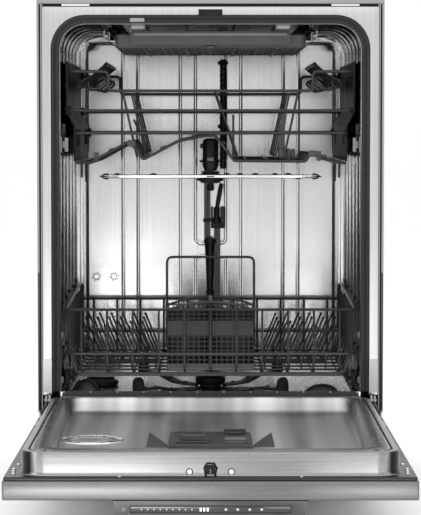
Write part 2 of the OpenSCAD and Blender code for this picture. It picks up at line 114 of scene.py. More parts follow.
def noise_of(tree, stretch, scale, detail=4.0, rough=0.55):
    """Noise in object space; stretch gives the grain its direction."""
    coords = tree.nodes.new("ShaderNodeTexCoord")
    mapping = tree.nodes.new("ShaderNodeMapping")
    mapping.inputs["Scale"].default_value = stretch
    noise = tree.nodes.new("ShaderNodeTexNoise")
    noise.inputs["Scale"].default_value = scale
    noise.inputs["Detail"].default_value = detail
    noise.inputs["Roughness"].default_value = rough
    tree.links.new(coords.outputs["Object"], mapping.inputs["Vector"])
    tree.links.new(mapping.outputs[0], noise.inputs["Vector"])
    return noise.outputs["Fac"]


def ranged(tree, value, lo_value, hi_value, from_lo=0.3, from_hi=0.7):
    node = tree.nodes.new("ShaderNodeMapRange")
    node.inputs["From Min"].default_value = from_lo
    node.inputs["From Max"].default_value = from_hi
    node.inputs["To Min"].default_value = lo_value
    node.inputs["To Max"].default_value = hi_value
    tree.links.new(value, node.inputs["Value"])
    return node.outputs[0]


def tinted(tree, factor, dark, light):
    mix = tree.nodes.new("ShaderNodeMix")
    mix.data_type = "RGBA"
    mix.inputs["A"].default_value = (*dark, 1)
    mix.inputs["B"].default_value = (*light, 1)
    tree.links.new(factor, mix.inputs["Factor"])
    return mix.outputs["Result"]


def bumped(tree, shader, height, strength, distance):
    bump = tree.nodes.new("ShaderNodeBump")
    bump.inputs["Strength"].default_value = strength
    bump.inputs["Distance"].default_value = distance
    tree.links.new(height, bump.inputs["Height"])
    tree.links.new(bump.outputs[0], shader.inputs["Normal"])


def multiplied(tree, colour, factor):
    mix = tree.nodes.new("ShaderNodeMix")
    mix.data_type = "RGBA"
    mix.blend_type = "MULTIPLY"
    mix.inputs["Factor"].default_value = 1.0
    tree.links.new(colour, mix.inputs["A"])
    tree.links.new(factor, mix.inputs["B"])
    return mix.outputs["Result"]


def steel(name, tone, rough, stretch, scale, grain, smear=0.06, tint=(1, 1, 1), brushed=0.0, painted_reflection_bands=0.0,
          painted_side_shade=1.0):
    """Stainless sheet: fine directional grain over slow cloudy changes of gloss.

    The broad bands along Y are a painted reflection of the studio's lights; the dimming of faces that look sideways
    is painted shade, as if black flags stood beside them."""
    material, tree, shader = new_nodes(name)
    shader.inputs["Metallic"].default_value = 1.0
    fine = noise_of(tree, stretch, scale, 6, 0.7)
    slow = noise_of(tree, (1, 1, 1), 3.5, 2, 0.5)
    dark = [tone * 0.9 * c for c in tint]
    light = [min(1, tone * 1.08 * c) for c in tint]
    colour = tinted(tree, ranged(tree, fine, 0, 1), dark, light)
    if painted_reflection_bands:
        # broad bands along Y: a painted reflection of the studio's lights
        bands = noise_of(tree, (17, 0.5, 0.5), 1.0, 2, 0.5)
        colour = multiplied(tree, colour, ranged(tree, bands, 1 - painted_reflection_bands, 1 + painted_reflection_bands, 0.36, 0.64))
    if painted_side_shade < 1:
        # faces that look sideways get painted shade, as if black flags stood beside them
        coords = tree.nodes.new("ShaderNodeTexCoord")
        parts = tree.nodes.new("ShaderNodeSeparateXYZ")
        size = tree.nodes.new("ShaderNodeMath")
        size.operation = "ABSOLUTE"
        tree.links.new(coords.outputs["Normal"], parts.inputs[0])
        tree.links.new(parts.outputs["X"], size.inputs[0])
        colour = multiplied(tree, colour, ranged(tree, size.outputs[0], 1, painted_side_shade, 0.42, 0.62))
    tree.links.new(colour, shader.inputs["Base Color"])
    add = tree.nodes.new("ShaderNodeMath")
    add.operation = "ADD"
    tree.links.new(ranged(tree, fine, rough * 0.85, rough * 1.1), add.inputs[0])
    tree.links.new(ranged(tree, slow, -smear / 2, smear / 2), add.inputs[1])
    tree.links.new(add.outputs[0], shader.inputs["Roughness"])
    if brushed:
        # grain along X, so that reflections smear across it
        tangent = tree.nodes.new("ShaderNodeTangent")
        tangent.direction_type = "RADIAL"
        tangent.axis = "X"
        tree.links.new(tangent.outputs[0], shader.inputs["Tangent"])
        shader.inputs["Anisotropic"].default_value = brushed
    bumped(tree, shader, fine, grain, 0.0002)
    return material


def moulded(name, colour, rough, bump=0.25, scale=900, vary=0.25, coat=0.0, sheen=0.35):
    """Moulded plastic or nylon: pebbled skin, slow change of tone, slight wear on the gloss."""
    material, tree, shader = new_nodes(name)
    fine = noise_of(tree, (1, 1, 1), scale, 3, 0.6)
    slow = noise_of(tree, (1, 1, 1), 14, 4, 0.6)
    dark = [c * (1 - vary) for c in colour]
    light = [min(1, c * (1 + vary)) for c in colour]
    tree.links.new(tinted(tree, ranged(tree, slow, 0, 1), dark, light), shader.inputs["Base Color"])
    tree.links.new(ranged(tree, slow, rough * 0.85, min(1, rough * 1.15)), shader.inputs["Roughness"])
    shader.inputs["Specular IOR Level"].default_value = sheen
    shader.inputs["Coat Weight"].default_value = coat
    shader.inputs["Coat Roughness"].default_value = 0.2
    bumped(tree, shader, fine, bump, 0.0002)
    return material


def spangled(name, tone, rough):
    """Zinc-coated sheet with its crystal spangle."""
    material, tree, shader = new_nodes(name)
    shader.inputs["Metallic"].default_value = 0.85
    coords = tree.nodes.new("ShaderNodeTexCoord")
    cells = tree.nodes.new("ShaderNodeTexVoronoi")
    cells.inputs["Scale"].default_value = 95
    cells.inputs["Randomness"].default_value = 1.0
    tree.links.new(coords.outputs["Object"], cells.inputs["Vector"])
    grey = tree.nodes.new("ShaderNodeRGBToBW")
    tree.links.new(cells.outputs["Color"], grey.inputs[0])
    factor = ranged(tree, grey.outputs[0], 0, 1, 0.2, 0.8)
    dark = (tone * 0.82, tone * 0.83, tone * 0.86)
    light = (tone * 1.05, tone * 1.06, tone * 1.08)
    tree.links.new(tinted(tree, factor, dark, light), shader.inputs["Base Color"])
    tree.links.new(ranged(tree, grey.outputs[0], rough * 0.8, rough * 1.25, 0.2, 0.8), shader.inputs["Roughness"])
    bumped(tree, shader, noise_of(tree, (1, 1, 1), 300, 3), 0.08, 0.0003)
    return material


def cast(name, colour):
    """Rough cast concrete with pores."""
    material, tree, shader = new_nodes(name)
    coarse = noise_of(tree, (1, 1, 1), 60, 8, 0.7)
    dark = [c * 0.65 for c in colour]
    tree.links.new(tinted(tree, ranged(tree, coarse, 0, 1), dark, colour), shader.inputs["Base Color"])
    shader.inputs["Roughness"].default_value = 0.92
    bumped(tree, shader, coarse, 0.6, 0.002)
    return material


def plain_glow(name, colour, strength):
    material, tree, shader = new_nodes(name)
    slow = noise_of(tree, (1, 1, 1), 60, 2)
    tree.links.new(tinted(tree, slow, [c * 0.9 for c in colour], colour), shader.inputs["Base Color"])
    shader.inputs["Emission Color"].default_value = (*colour, 1)
    shader.inputs["Emission Strength"].default_value = strength
    shader.inputs["Roughness"].default_value = 0.3
    return material


TUB_STEEL = steel("tub_steel", 0.585, 0.22, (260, 260, 3), 1.0, 0.02, 0.05)
FLOOR_STEEL = steel("floor_steel", 0.86, 0.15, (200, 3, 200), 1.0, 0.008, 0.02)
FRAME_STEEL = steel("frame_steel", 0.52, 0.32, (300, 300, 4), 1.0, 0.05)
# the inner door's one stainless sheet in three tones: the darker walls and rim and the almost black flange are
# painted shade, the lighter sunk field is painted light
SHADED_LINER_STEEL = steel("liner_steel", 0.28, 0.27, (3, 300, 300), 1.0, 0.02, 0.04, brushed=0.8, painted_side_shade=0.08)
LIT_FIELD_STEEL = steel("field_steel_painted_light", 0.50, 0.34, (3, 300, 300), 1.0, 0.03, 0.04, brushed=0.6, painted_reflection_bands=0.42)
SHADED_FLANGE_STEEL = steel("flange_steel_painted_shade", 0.045, 0.30, (3, 300, 300), 1.0, 0.05, 0.05, brushed=0.6)
HINGE_STEEL = steel("hinge_steel", 0.22, 0.25, (3, 3, 300), 1.0, 0.05, 0.05)
DOOR_STEEL = steel("door_steel", 0.165, 0.28, (4, 420, 420), 1.0, 0.05, 0.04, brushed=0.7)
PERFORATED = steel("perforated_steel", 0.4, 0.4, (400, 400, 400), 1.0, 0.4, 0.05)
CONSOLE_STEEL = steel("console_steel", 0.075, 0.34, (4, 300, 300), 1.0, 0.05, 0.04, brushed=0.5)
BRIGHT_STEEL = steel("bright_steel", 0.85, 0.12, (40, 40, 40), 1.0, 0.03, 0.04)
CHROME = steel("chrome", 0.88, 0.08, (30, 30, 30), 1.0, 0.02, 0.03, (0.98, 0.99, 1.0))
TRIM_GREY = moulded("trim_lacquer", (0.28, 0.28, 0.29), 0.4, 0.05, 500, 0.04, 0.1)
RUBBER = moulded("gasket_rubber", (0.022, 0.022, 0.025), 0.6, 0.3, 700, 0.25, sheen=0.3)
SEAL_BLACK = moulded("seal_black", (0.008, 0.008, 0.009), 0.6, 0.2, 700, 0.2, sheen=0.2)
ZINC = spangled("galvanised_sheet", 0.52, 0.38)
BASE_BLACK = moulded("base_black", (0.014, 0.014, 0.016), 0.55, 0.5, 420, 0.3, sheen=0.3)
BLACK_PLASTIC = moulded("black_plastic", (0.006, 0.006, 0.007), 0.42, 0.15, 900, 0.25, sheen=0.25)
DARK_PLASTIC = moulded("rack_plastic", (0.009, 0.009, 0.010), 0.5, 0.3, 800, 0.25, sheen=0.15)
TRAY_PLASTIC = moulded("tray_plastic", (0.045, 0.045, 0.048), 0.55, 0.25, 800, 0.15, sheen=0.3)
BASKET_PLASTIC = moulded("basket_plastic", (0.025, 0.025, 0.027), 0.42, 0.25, 800, 0.15, sheen=0.3)
WIRE_COAT = moulded("rack_coating", (0.017, 0.017, 0.019), 0.38, 0.3, 600, 0.15, 0.1, 0.3)
GREY_PLASTIC = moulded("grey_plastic", (0.04, 0.04, 0.043), 0.45, 0.2, 900, 0.15, sheen=0.3)
MID_PLASTIC = moulded("mid_grey_plastic", (0.13, 0.13, 0.135), 0.45, 0.2, 900, 0.12)
WHITE_PLASTIC = moulded("white_plastic", (0.68, 0.68, 0.64), 0.45, 0.15, 700, 0.05)
CONCRETE = cast("cast_concrete", (0.42, 0.41, 0.39))
FELT = moulded("felt", (0.28, 0.24, 0.18), 0.95, 1.0, 260, 0.3)
DISPLAY_BLACK = moulded("display_glass", (0.004, 0.004, 0.005), 0.06, 0.0, 100, 0.2, 1.0)
ICON = plain_glow("icon_light", (0.75, 0.8, 0.85), 0.35)
LAMP = plain_glow("lamp_lens", (0.3, 0.3, 0.29), 0.1)


# ---- Mesh helpers ----

def place(obj, body, material, replaces=()):
    bpy.context.collection.objects.link(obj)
    obj.data.materials.append(material)
    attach(obj, body)
    if replaces:
        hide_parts(*replaces)
    return obj


def from_bmesh(name, bm, body, material, replaces=(), sharp=35):
    bmesh.ops.recalc_face_normals(bm, faces=bm.faces)
    mesh = bpy.data.meshes.new(name)
    for vertex in bm.verts:
        vertex.co *= MM
    bm.to_mesh(mesh)
    bm.free()
    for polygon in mesh.polygons:
        polygon.use_smooth = True
    mesh.set_sharp_from_angle(angle=math.radians(sharp))
    return place(bpy.data.objects.new(name, mesh), body, material, replaces)


def bevelled(bm, corners, radius, segments):
    # kept in order, so that every run numbers the new corners alike
    edges = list(dict.fromkeys(edge for vertex in corners for edge in vertex.link_edges))
    bmesh.ops.bevel(bm, geom=edges, offset=radius, segments=segments, affect="EDGES", profile=0.5)


def add_box(bm, lo_corner, hi_corner, radius=0.0, segments=2):
    """A box between two corners, with its edges rounded."""
    lo_corner, hi_corner = Vector(lo_corner), Vector(hi_corner)
    made = bmesh.ops.create_cube(bm, size=1.0)["verts"]
    centre, size = (lo_corner + hi_corner) / 2, hi_corner - lo_corner
    for vertex in made:
        vertex.co = Vector([centre[i] + vertex.co[i] * size[i] for i in range(3)])
    if radius > 0:
        bevelled(bm, made, radius, segments)


def boxes(name, corners, body, material, replaces=(), radius=1.0, segments=2):
    bm = bmesh.new()
    for lo_corner, hi_corner in corners:
        add_box(bm, lo_corner, hi_corner, radius, segments)
    return from_bmesh(name, bm, body, material, replaces)


def mirrored(corners):
    """The same boxes on both sides of the centre plane."""
    other = [((-b[0], a[1], a[2]), (-a[0], b[1], b[2])) for a, b in corners]
    return list(corners) + other


def add_tube(bm, start, end, profile, segments=32):
    """Turned shape along the line from start to end; profile is (distance, radius) pairs."""
    start, end = Vector(start), Vector(end)
    axis = (end - start).normalized()
    side = axis.orthogonal().normalized()
    other = axis.cross(side)
    rings = []
    for distance, radius in profile:
        ring = []
        for i in range(segments):
            angle = 2 * math.pi * i / segments
            offset = (side * math.cos(angle) + other * math.sin(angle)) * max(radius, 0.01)
            ring.append(bm.verts.new(start + axis * distance + offset))
        rings.append(ring)
    bridge(bm, rings)


def bridge(bm, rings, first=True, last=True):
    """Faces between successive closed rings, and lids on the ends."""
    count = len(rings[0])
    for a, b in zip(rings, rings[1:]):
        for i in range(count):
            j = (i + 1) % count
            bm.faces.new((a[i], a[j], b[j], b[i]))
    if first:
        bm.faces.new(list(reversed(rings[0])))
    if last:
        bm.faces.new(rings[-1])


def door_ring(bm, w, *shape):
    """Ring of corners at height w over the door; shape is what rounded_ring takes."""
    return [bm.verts.new(on_door(x, u, w)) for x, u in rounded_ring(*shape)]


def around(count, radius, cx, cy):
    """Even places on a circle."""
    for k in range(count):
        angle = math.radians(360 * k / count)
        yield cx + radius * math.cos(angle), cy + radius * math.sin(angle)


def squared(value, power):
    """A sine or cosine drawn towards 1, which squares off a round outline."""
    return math.copysign(abs(value) ** power, value)


def turned(name, parts, body, material, replaces=(), segments=40):
    bm = bmesh.new()
    for start, end, profile in parts:
        add_tube(bm, start, end, profile, segments)
    return from_bmesh(name, bm, body, material, replaces)


def rounded_ring(hx, a, b, radius, steps=6, cx=0.0):
    """Points of a rectangle with round corners: half-width hx, from a to b, anticlockwise."""
    points = []
    corners = ((cx + hx - radius, b - radius, 0), (cx - hx + radius, b - radius, 90),
               (cx - hx + radius, a + radius, 180), (cx + hx - radius, a + radius, 270))
    for x, y, start in corners:
        for i in range(steps + 1):
            angle = math.radians(start + 90 * i / steps)
            points.append((x + radius * math.cos(angle), y + radius * math.sin(angle)))
    return points


def filleted(points, radius, steps=5, closed=False):
    """The path with its corners rounded."""
    points = [Vector(p) for p in points]
    count = len(points)
    result = []
    for i, point in enumerate(points):
        if not closed and i in (0, count - 1):
            result.append(point)
            continue
        before = points[i - 1] - point
        after = points[(i + 1) % count] - point
        if before.length < 1e-6 or after.length < 1e-6:
            continue
        angle = before.angle(after)
        if angle > math.radians(176):
            result.append(point)
            continue
        cut = min(radius / math.tan(angle / 2), before.length * 0.49, after.length * 0.49)
        start = point + before.normalized() * cut
        end = point + after.normalized() * cut
        for k in range(steps + 1):
            t = k / steps
            result.append(start * (1 - t) ** 2 + point * 2 * t * (1 - t) + end * t ** 2)
    return result


def wires(name, runs, diameter, body, material, replaces=(), closed=False, bend=8.0):
    """Round bars bent along the runs, all in one piece."""
    curve = bpy.data.curves.new(name, "CURVE")
    curve.dimensions = "3D"
    curve.bevel_depth = diameter * MM / 2
    curve.bevel_resolution = 2
    curve.use_fill_caps = True
    for run in runs:
        points = filleted(run, bend, closed=closed)
        spline = curve.splines.new("POLY")
        spline.points.add(len(points) - 1)
        spline.use_cyclic_u = closed
        for target, point in zip(spline.points, points):
            target.co = (*(point * MM), 1)
    return place(bpy.data.objects.new(name, curve), body, material, replaces)


def dress(node, material):
    """A CAD node that stays gets its finish."""
    obj = frame["nodes"][node]
    obj.data.materials.clear()
    obj.data.materials.append(material)


def arch_path(hw, top, radius, bottom, steps=10):
    """Left foot, over the top and down to the right foot, as (x, z)."""
    points = [(-hw, bottom)]
    for side, start in ((-1, 180), (1, 90)):
        for i in range(steps + 1):
            angle = math.radians(start - 90 * i / steps)
            x, z = side * (hw - radius), top - radius
            points.append((x + radius * math.cos(angle), z + radius * math.sin(angle)))
    points.append((hw, bottom))
    return points


def thickened(obj, thickness, offset):
    if thickness:
        solid = obj.modifiers.new("sheet", "SOLIDIFY")
        solid.thickness = thickness * MM
        solid.offset = offset
    return obj


def strips(name, sections, body, material, replaces=(), thickness=0.0, sharp=35):
    """Skin between open rows of points."""
    bm = bmesh.new()
    rows = [[bm.verts.new(p) for p in row] for row in sections]
    for a, b in zip(rows, rows[1:]):
        for i in range(len(a) - 1):
            bm.faces.new((a[i], a[i + 1], b[i + 1], b[i]))
    return thickened(from_bmesh(name, bm, body, material, replaces, sharp), thickness, 1)


def smooth(t):
    t = min(1.0, max(0.0, t))
    return t * t * (3 - 2 * t)


def pressed(name, us, vs, height, at, body, material, replaces=(), hole=None, thickness=0.0):
    """Pressed sheet: a grid over (u, v) whose relief is height(u, v); at(u, v, h) puts it in place."""
    bm = bmesh.new()
    rows = [[bm.verts.new(at(u, v, height(u, v))) for u in us] for v in vs]
    for j in range(len(vs) - 1):
        for i in range(len(us) - 1):
            if hole and hole((us[i] + us[i + 1]) / 2, (vs[j] + vs[j + 1]) / 2):
                continue
            bm.faces.new((rows[j][i], rows[j][i + 1], rows[j + 1][i + 1], rows[j + 1][i]))
    loose = [vertex for vertex in bm.verts if not vertex.link_faces]
    bmesh.ops.delete(bm, geom=loose, context="VERTS")
    return thickened(from_bmesh(name, bm, body, material, replaces, 50), thickness, 0)


def grid_lines(start, end, step, fine=(), near=(-4, -3, -2, -1, 0, 1, 2, 3, 4)):
    """Even lines from start to end, with close ones round each place in fine."""
    count = max(1, round((end - start) / step))
    lines = {round(start + (end - start) * i / count, 2) for i in range(count + 1)}
    for place_ in fine:
        lines |= {round(place_ + n, 2) for n in near if start < place_ + n < end}
    return sorted(lines)


def step_up(distance, width=3.0):
    """0 outside an edge, 1 inside it; distance is how far inside."""
    return smooth(distance / width + 0.5)


def bead_of(away, half):
    """1 on a bead's middle line, 0 from half its width away."""
    return max(0, math.cos(min(1, away / half) * math.pi / 2))


def inside_arch(x, z, hw, top, radius, bottom):
    """Distance inside an outline with round upper corners."""
    dx = hw - abs(x)
    dz = top - z
    edge = min(dx, dz, z - bottom)
    if dx < radius and dz < radius:
        edge = min(edge, radius - math.hypot(radius - dx, radius - dz))
    return edge


# ---- Tub ----

RIBS = (66, 155, 250, 345, 440)             # depths of the wrapper's ribs
RIB_RISE = 3.2
BEADS = (58.1, 139.8, 168.8)                # upright beads of the tub's back, from the middle
LOOP_HW, LOOP_R = 29.0, 9                   # the innermost pair, which closes into two loops
LOOP_LOW, LOOP_HIGH = 394, 417              # where the lower loop ends and the upper one starts
BOSS_HEIGHT = 353


def tub_skin():
    """Deep-drawn wrapper with pressed ribs that run up the sides and over the ceiling."""
    depths = grid_lines(14, 500, 30, RIBS, (-9, -7, -5, -3, 0, 3, 5, 7, 9))
    sections = []
    for d in depths:
        rise = sum(RIB_RISE * bead_of(abs(d - rib), 9) for rib in RIBS)
        path = arch_path(TUB_HW - rise, TUB_TOP - rise, TUB_R - rise, FLOOR - 0.5, 12)
        sections.append([Vector((x, at_depth(d), z)) for x, z in path])
    strips("tub_skin", sections, "cabinet", TUB_STEEL, ["tub_wrapper"], 0.9)


def bead_rise(away, half=3.1, height=1.3):
    return height * min(1.0, max(0.0, (half - away) / 1.9))


def back_relief(x, z):
    """How far the tub's back stands forward at (x, z)."""
    rise = 2.0 * (1 - step_up(inside_arch(x, z, 252, 817, 37, 150), 5))
    rise += 3.0 * step_up(inside_arch(x, z, 238, 803, 22, 196), 6)
    ends = step_up(790 - z, 10) * step_up(z - 204, 10)
    for bead in BEADS:
        rise += bead_rise(abs(abs(x) - bead)) * ends
    # the innermost pair closes into a loop under the duct's joint and opens again below it
    if LOOP_LOW <= z <= LOOP_HIGH:
        across = 1 if abs(x) < LOOP_HW - 6 else 0
        return rise + bead_rise(min(abs(z - LOOP_HIGH), abs(z - LOOP_LOW))) * across
    into = LOOP_HIGH + LOOP_R - z if z > LOOP_HIGH else z - LOOP_LOW + LOOP_R
    corner = LOOP_HW - abs(x)
    if into > 0:
        corner = LOOP_R - math.hypot(max(0, abs(x) - LOOP_HW + LOOP_R), into)
    rise += bead_rise(abs(corner)) * ends
    return rise


def tub_back_sheet():
    near = (-4.4, -3.1, -1.8, 0, 1.8, 3.1, 4.4)
    marks = [s * b for b in (LOOP_HW, *BEADS, 238, 250) for s in (-1, 1)]
    us = grid_lines(-TUB_HW, TUB_HW, 12, marks, near)
    vs = grid_lines(FLOOR - 0.5, TUB_TOP + 0.5, 14, (196, 214, 385, 394, 417, 426, 790, 803, 815), near)
    # pressed bosses beside the duct: a round rim inside a broken circle
    rims, dashes = [], []
    for boss in (-221, -187):
        rims.append([(x, TUB_BACK - 5.0, z) for x, z in around(24, 5.6, boss, BOSS_HEIGHT)])
        broken = [(x, TUB_BACK - 5.0, z) for x, z in around(30, 8.8, boss, BOSS_HEIGHT)]
        dashes += [broken[5 * k:5 * k + 3] for k in range(6)]
    wires("boss_rims", rims, 1.5, "cabinet", GREY_PLASTIC, closed=True, bend=0.2)
    wires("boss_dashes", dashes, 1.3, "cabinet", SEAL_BLACK, bend=0.2)
    pressed("tub_back_sheet", us, vs, back_relief, lambda x, z, h: Vector((x, TUB_BACK - h, z)),
            "cabinet", TUB_STEEL, ["tub_back"])


SUMP = Vector((0, centre_of("sump")[1], 0))
SALT = Vector((*centre_of("salt_cap")[:2], 0))
FLOOR_BEADS = (-212, -120, 120, 212)


def tub_floor_sheet():
    def relief(x, y):
        away = math.hypot(x - SUMP.x, y - SUMP.y)
        rise = -6.0 * step_up(100 - away, 6) + 1.4 * step_up(away - 130, 8)
        for line in FLOOR_BEADS:
            rise += 1.6 * bead_of(abs(x - line), 5) * step_up(away - 140, 14)
        return rise

    def hole(x, y):
        return math.hypot(x - SUMP.x, y - SUMP.y) < 90 or math.hypot(x - SALT.x, y - SALT.y) < 24

    near = (-5, -3, -1, 1, 3, 5)
    us = grid_lines(-238, 238, 7, FLOOR_BEADS, near)
    vs = grid_lines(at_depth(12), TUB_BACK, 7)
    pressed("tub_floor_sheet", us, vs, relief, lambda x, y, h: Vector((x, y, FLOOR + h)), "cabinet", FLOOR_STEEL,
            ["tub_floor"], hole)
    lip = ((14, 1.4), (9, 1.6), (5.5, 3), (3.6, 6), (3, 12), (2.6, 26), (2.2, 29), (1.4, 30), (0.9, 29), (0.9, 20))
    sections = [[Vector((x, at_depth(d), FLOOR + z)) for d, z in lip] for x in (-TUB_HW, -120, 0, 120, TUB_HW)]
    strips("tub_sill", sections, "cabinet", FLOOR_STEEL)
    shelf = ((259, 30), (246, 30), (243.4, 29), (242.2, 26.5), (242, 20), (241.6, 6), (240.5, 2.6), (236, 1.4))
    for side, label in SIDES:
        rows = [[Vector((side * x, at_depth(d), FLOOR + z)) for x, z in shelf] for d in (4, 130, 250, 370, 497)]
        strips(f"wheel_track_{label}", rows, "cabinet", FLOOR_STEEL)


def filter_parts():
    bm = bmesh.new()
    plate_top = high("filter_plate").z
    dish = [(-1.6, 97), (0, 97), (0.2, 90), (1.6, 86), (2.0, 60), (2.4, 36), (3.4, 30), (3.4, 26), (0, 25), (0, 20)]
    add_tube(bm, (SUMP.x, SUMP.y, plate_top), (SUMP.x, SUMP.y, plate_top + 1), dish, 64)
    from_bmesh("fine_filter", bm, "cabinet", PERFORATED, ["filter_plate"])
    cx, cy, _ = centre_of("filter_cup")
    top, bottom = high("filter_cup").z, low("filter_cup").z
    wall = [(0, 27), (0.5, 28), (top - bottom - 7, 28), (top - bottom - 6, 31.5), (top - bottom - 1, 32),
            (top - bottom, 31), (top - bottom, 27.5), (top - bottom - 4, 26), (2.2, 26), (2, 0)]
    bm = bmesh.new()
    add_tube(bm, (cx, cy, bottom), (cx, cy, top), wall, 48)
    for px, py in around(16, 28, cx, cy):
        add_box(bm, (px - 1, py - 1, bottom + 4), (px + 1, py + 1, top - 9), 0.4, 1)
    add_box(bm, (cx - 3, cy - 27, top - 9), (cx + 3, cy + 27, top - 3), 1.2)
    add_tube(bm, (cx, cy, top - 12), (cx, cy, top), [(0, 6), (9, 6), (12, 4.6), (12.6, 3)], 24)
    from_bmesh("filter_basket", bm, "filter", MID_PLASTIC, ["filter_cup"])
    dress("sump", BASE_BLACK)


def salt_lid():
    bm = bmesh.new()
    base, top = FLOOR + 2.5, high("salt_cap").z
    add_tube(bm, (SALT.x, SALT.y, base - 11), (SALT.x, SALT.y, top),
             [(0, 18), (0.5, 19.5), (11, 19.5), (11, 32), (12, 33), (17, 33), (19, 31.6), (20, 29), (20.2, 0)], 64)
    for px, py in around(24, 32.4, SALT.x, SALT.y):
        add_tube(bm, (px, py, base + 0.8), (px, py, base + 7), [(0, 1.0), (0.5, 1.3), (5.5, 1.3), (6.2, 0.7)], 8)
    add_box(bm, (SALT.x - 26, SALT.y - 4, base + 8), (SALT.x + 26, SALT.y + 4, top - 0.2), 2.0, 3)
    from_bmesh("salt_lid", bm, "salt_cap", BLACK_PLASTIC, ["salt_cap"])


def rack_reflection_domes():
    """Black domes at the front of the floor, left and right: dark shapes that stand for painted reflections of the
    rack in the floor's sloped corners.
    """
    domes = (("left_rack_reflection", -214, 24, 74, 24, 44), ("right_rack_reflection", 192, 36, 64, 20, 36))
    for name, cx, hx, d, hy, height in domes:
        bm = bmesh.new()
        rings = []
        for level in (0.0, 0.12, 0.35, 0.6, 0.8, 0.93, 0.985):
            shrink = math.sqrt(1 - level ** 2.6)
            lean = -4 * level if cx < 0 else 4 * level
            ring = []
            for k in range(40):
                angle = 2 * math.pi * k / 40
                c, s = math.cos(angle), math.sin(angle)
                px = cx + lean + squared(c, 0.75) * hx * shrink
                py = at_depth(d) + squared(s, 0.75) * hy * shrink
                ring.append(bm.verts.new((px, py, FLOOR + 1 + height * level)))
            rings.append(ring)
        bridge(bm, rings)
        from_bmesh(name, bm, "cabinet", BLACK_PLASTIC, sharp=60)


def ceiling_lamps():
    parts = []
    for x in (-125, 125):
        parts.append(((x - 13, at_depth(16), TUB_TOP - 9), (x + 13, at_depth(36), TUB_TOP + 0.3)))
    boxes("lamp_housings", parts, "cabinet", MID_PLASTIC, radius=2.5, segments=3)
    glow = [((a[0] + 3, a[1] - 0.4, a[2] + 1.5), (b[0] - 3, b[1] - 4, b[2] - 2.2)) for a, b in parts]
    boxes("lamp_lenses", glow, "cabinet", LAMP, radius=1.0)


def wall_screws():
    """Screw heads on the side walls, close behind the mouth."""
    head = [(0, 6), (2.2, 6), (3.4, 5), (3.8, 3), (3.3, 0)]
    y = at_depth(24)
    parts = [((s * TUB_HW, y, z), (s * (TUB_HW - 5), y, z), head) for s in (-1, 1) for z in (282, 204)]
    turned("wall_screws", parts, "cabinet", MID_PLASTIC, segments=24)


def gasket_and_frame():
    lip = ((0.1, 12), (0, 2.2), (0.8, 1.0), (2.5, 0.5), (4.4, 1.6), (5.6, 3.4), (7.0, 3.8), (8.4, 2.2), (10, 0.9),
           (12, 0.7), (13.2, 1.8), (13.6, 4), (13.6, 12))
    outer, top = high("door_gasket").x, high("door_gasket").z
    bottom = low("door_gasket").z
    sections = []
    for inset, d in lip:
        path = arch_path(outer - inset, top - inset, 58 - inset, bottom, 12)
        sections.append([Vector((x, at_depth(d), z)) for x, z in path])
    strips("mouth_gasket", sections, "cabinet", RUBBER, ["door_gasket"])
    hw, ft = high("front_frame").x, high("front_frame").z
    foot = low("front_frame").z
    inner, outside = (outer + 0.3, top + 0.3, 58.3), (hw, ft, 2.5)
    rows = []
    for shape, grow, d in ((inner, 0, 11.8), (inner, 0, 3.4), (inner, 0.4, 1.8), (inner, 1.4, 1.0),
                           (outside, -1.6, 1.0), (outside, -0.5, 1.3), (outside, 0, 2.2), (outside, 0, 11.8)):
        path = arch_path(shape[0] + grow, shape[1] + grow, max(1.0, shape[2] + grow), foot, 12)
        rows.append([Vector((x, at_depth(d), z)) for x, z in path])
    strips("front_flange", rows, "cabinet", FRAME_STEEL, ["front_frame"])
    lo_s, hi_s = low("latch_strike"), high("latch_strike")
    bm = bmesh.new()
    add_box(bm, (lo_s.x, lo_s.y - 0.7, hi_s.z - 2.2), (hi_s.x, hi_s.y, hi_s.z), 0.5)
    add_box(bm, (lo_s.x, lo_s.y - 0.7, lo_s.z - 3), (hi_s.x, hi_s.y, lo_s.z + 2.2), 0.5)
    for x in (lo_s.x, 14):
        add_box(bm, (x, lo_s.y - 0.7, lo_s.z), (x + 6.5, hi_s.y, hi_s.z), 0.5)
    add_box(bm, (lo_s.x, lo_s.y - 0.4, lo_s.z), (hi_s.x, lo_s.y + 1.4, hi_s.z))
    from_bmesh("strike_box", bm, "cabinet", BLACK_PLASTIC, ["latch_strike"])
    teeth = [((x - 22, at_depth(0.2), 179), (x + 22, at_depth(0.9), 187.2)) for x in range(-230, 231, 46)]
    teeth += [((-256, at_depth(0.3), 178), (256, at_depth(0.9), 185.4))]
    # a light-grey patch on the gasket under the left lamp: a painted pool of the lamp's light
    lamp_glow_patch = [((-138, at_depth(0.3), 822), (-113, at_depth(3), 829))]
    boxes("gasket_lamp_glow", lamp_glow_patch, "cabinet", TRIM_GREY, radius=1.5)
    boxes("threshold_seal", teeth, "cabinet", GREY_PLASTIC, radius=0.3, segments=1)


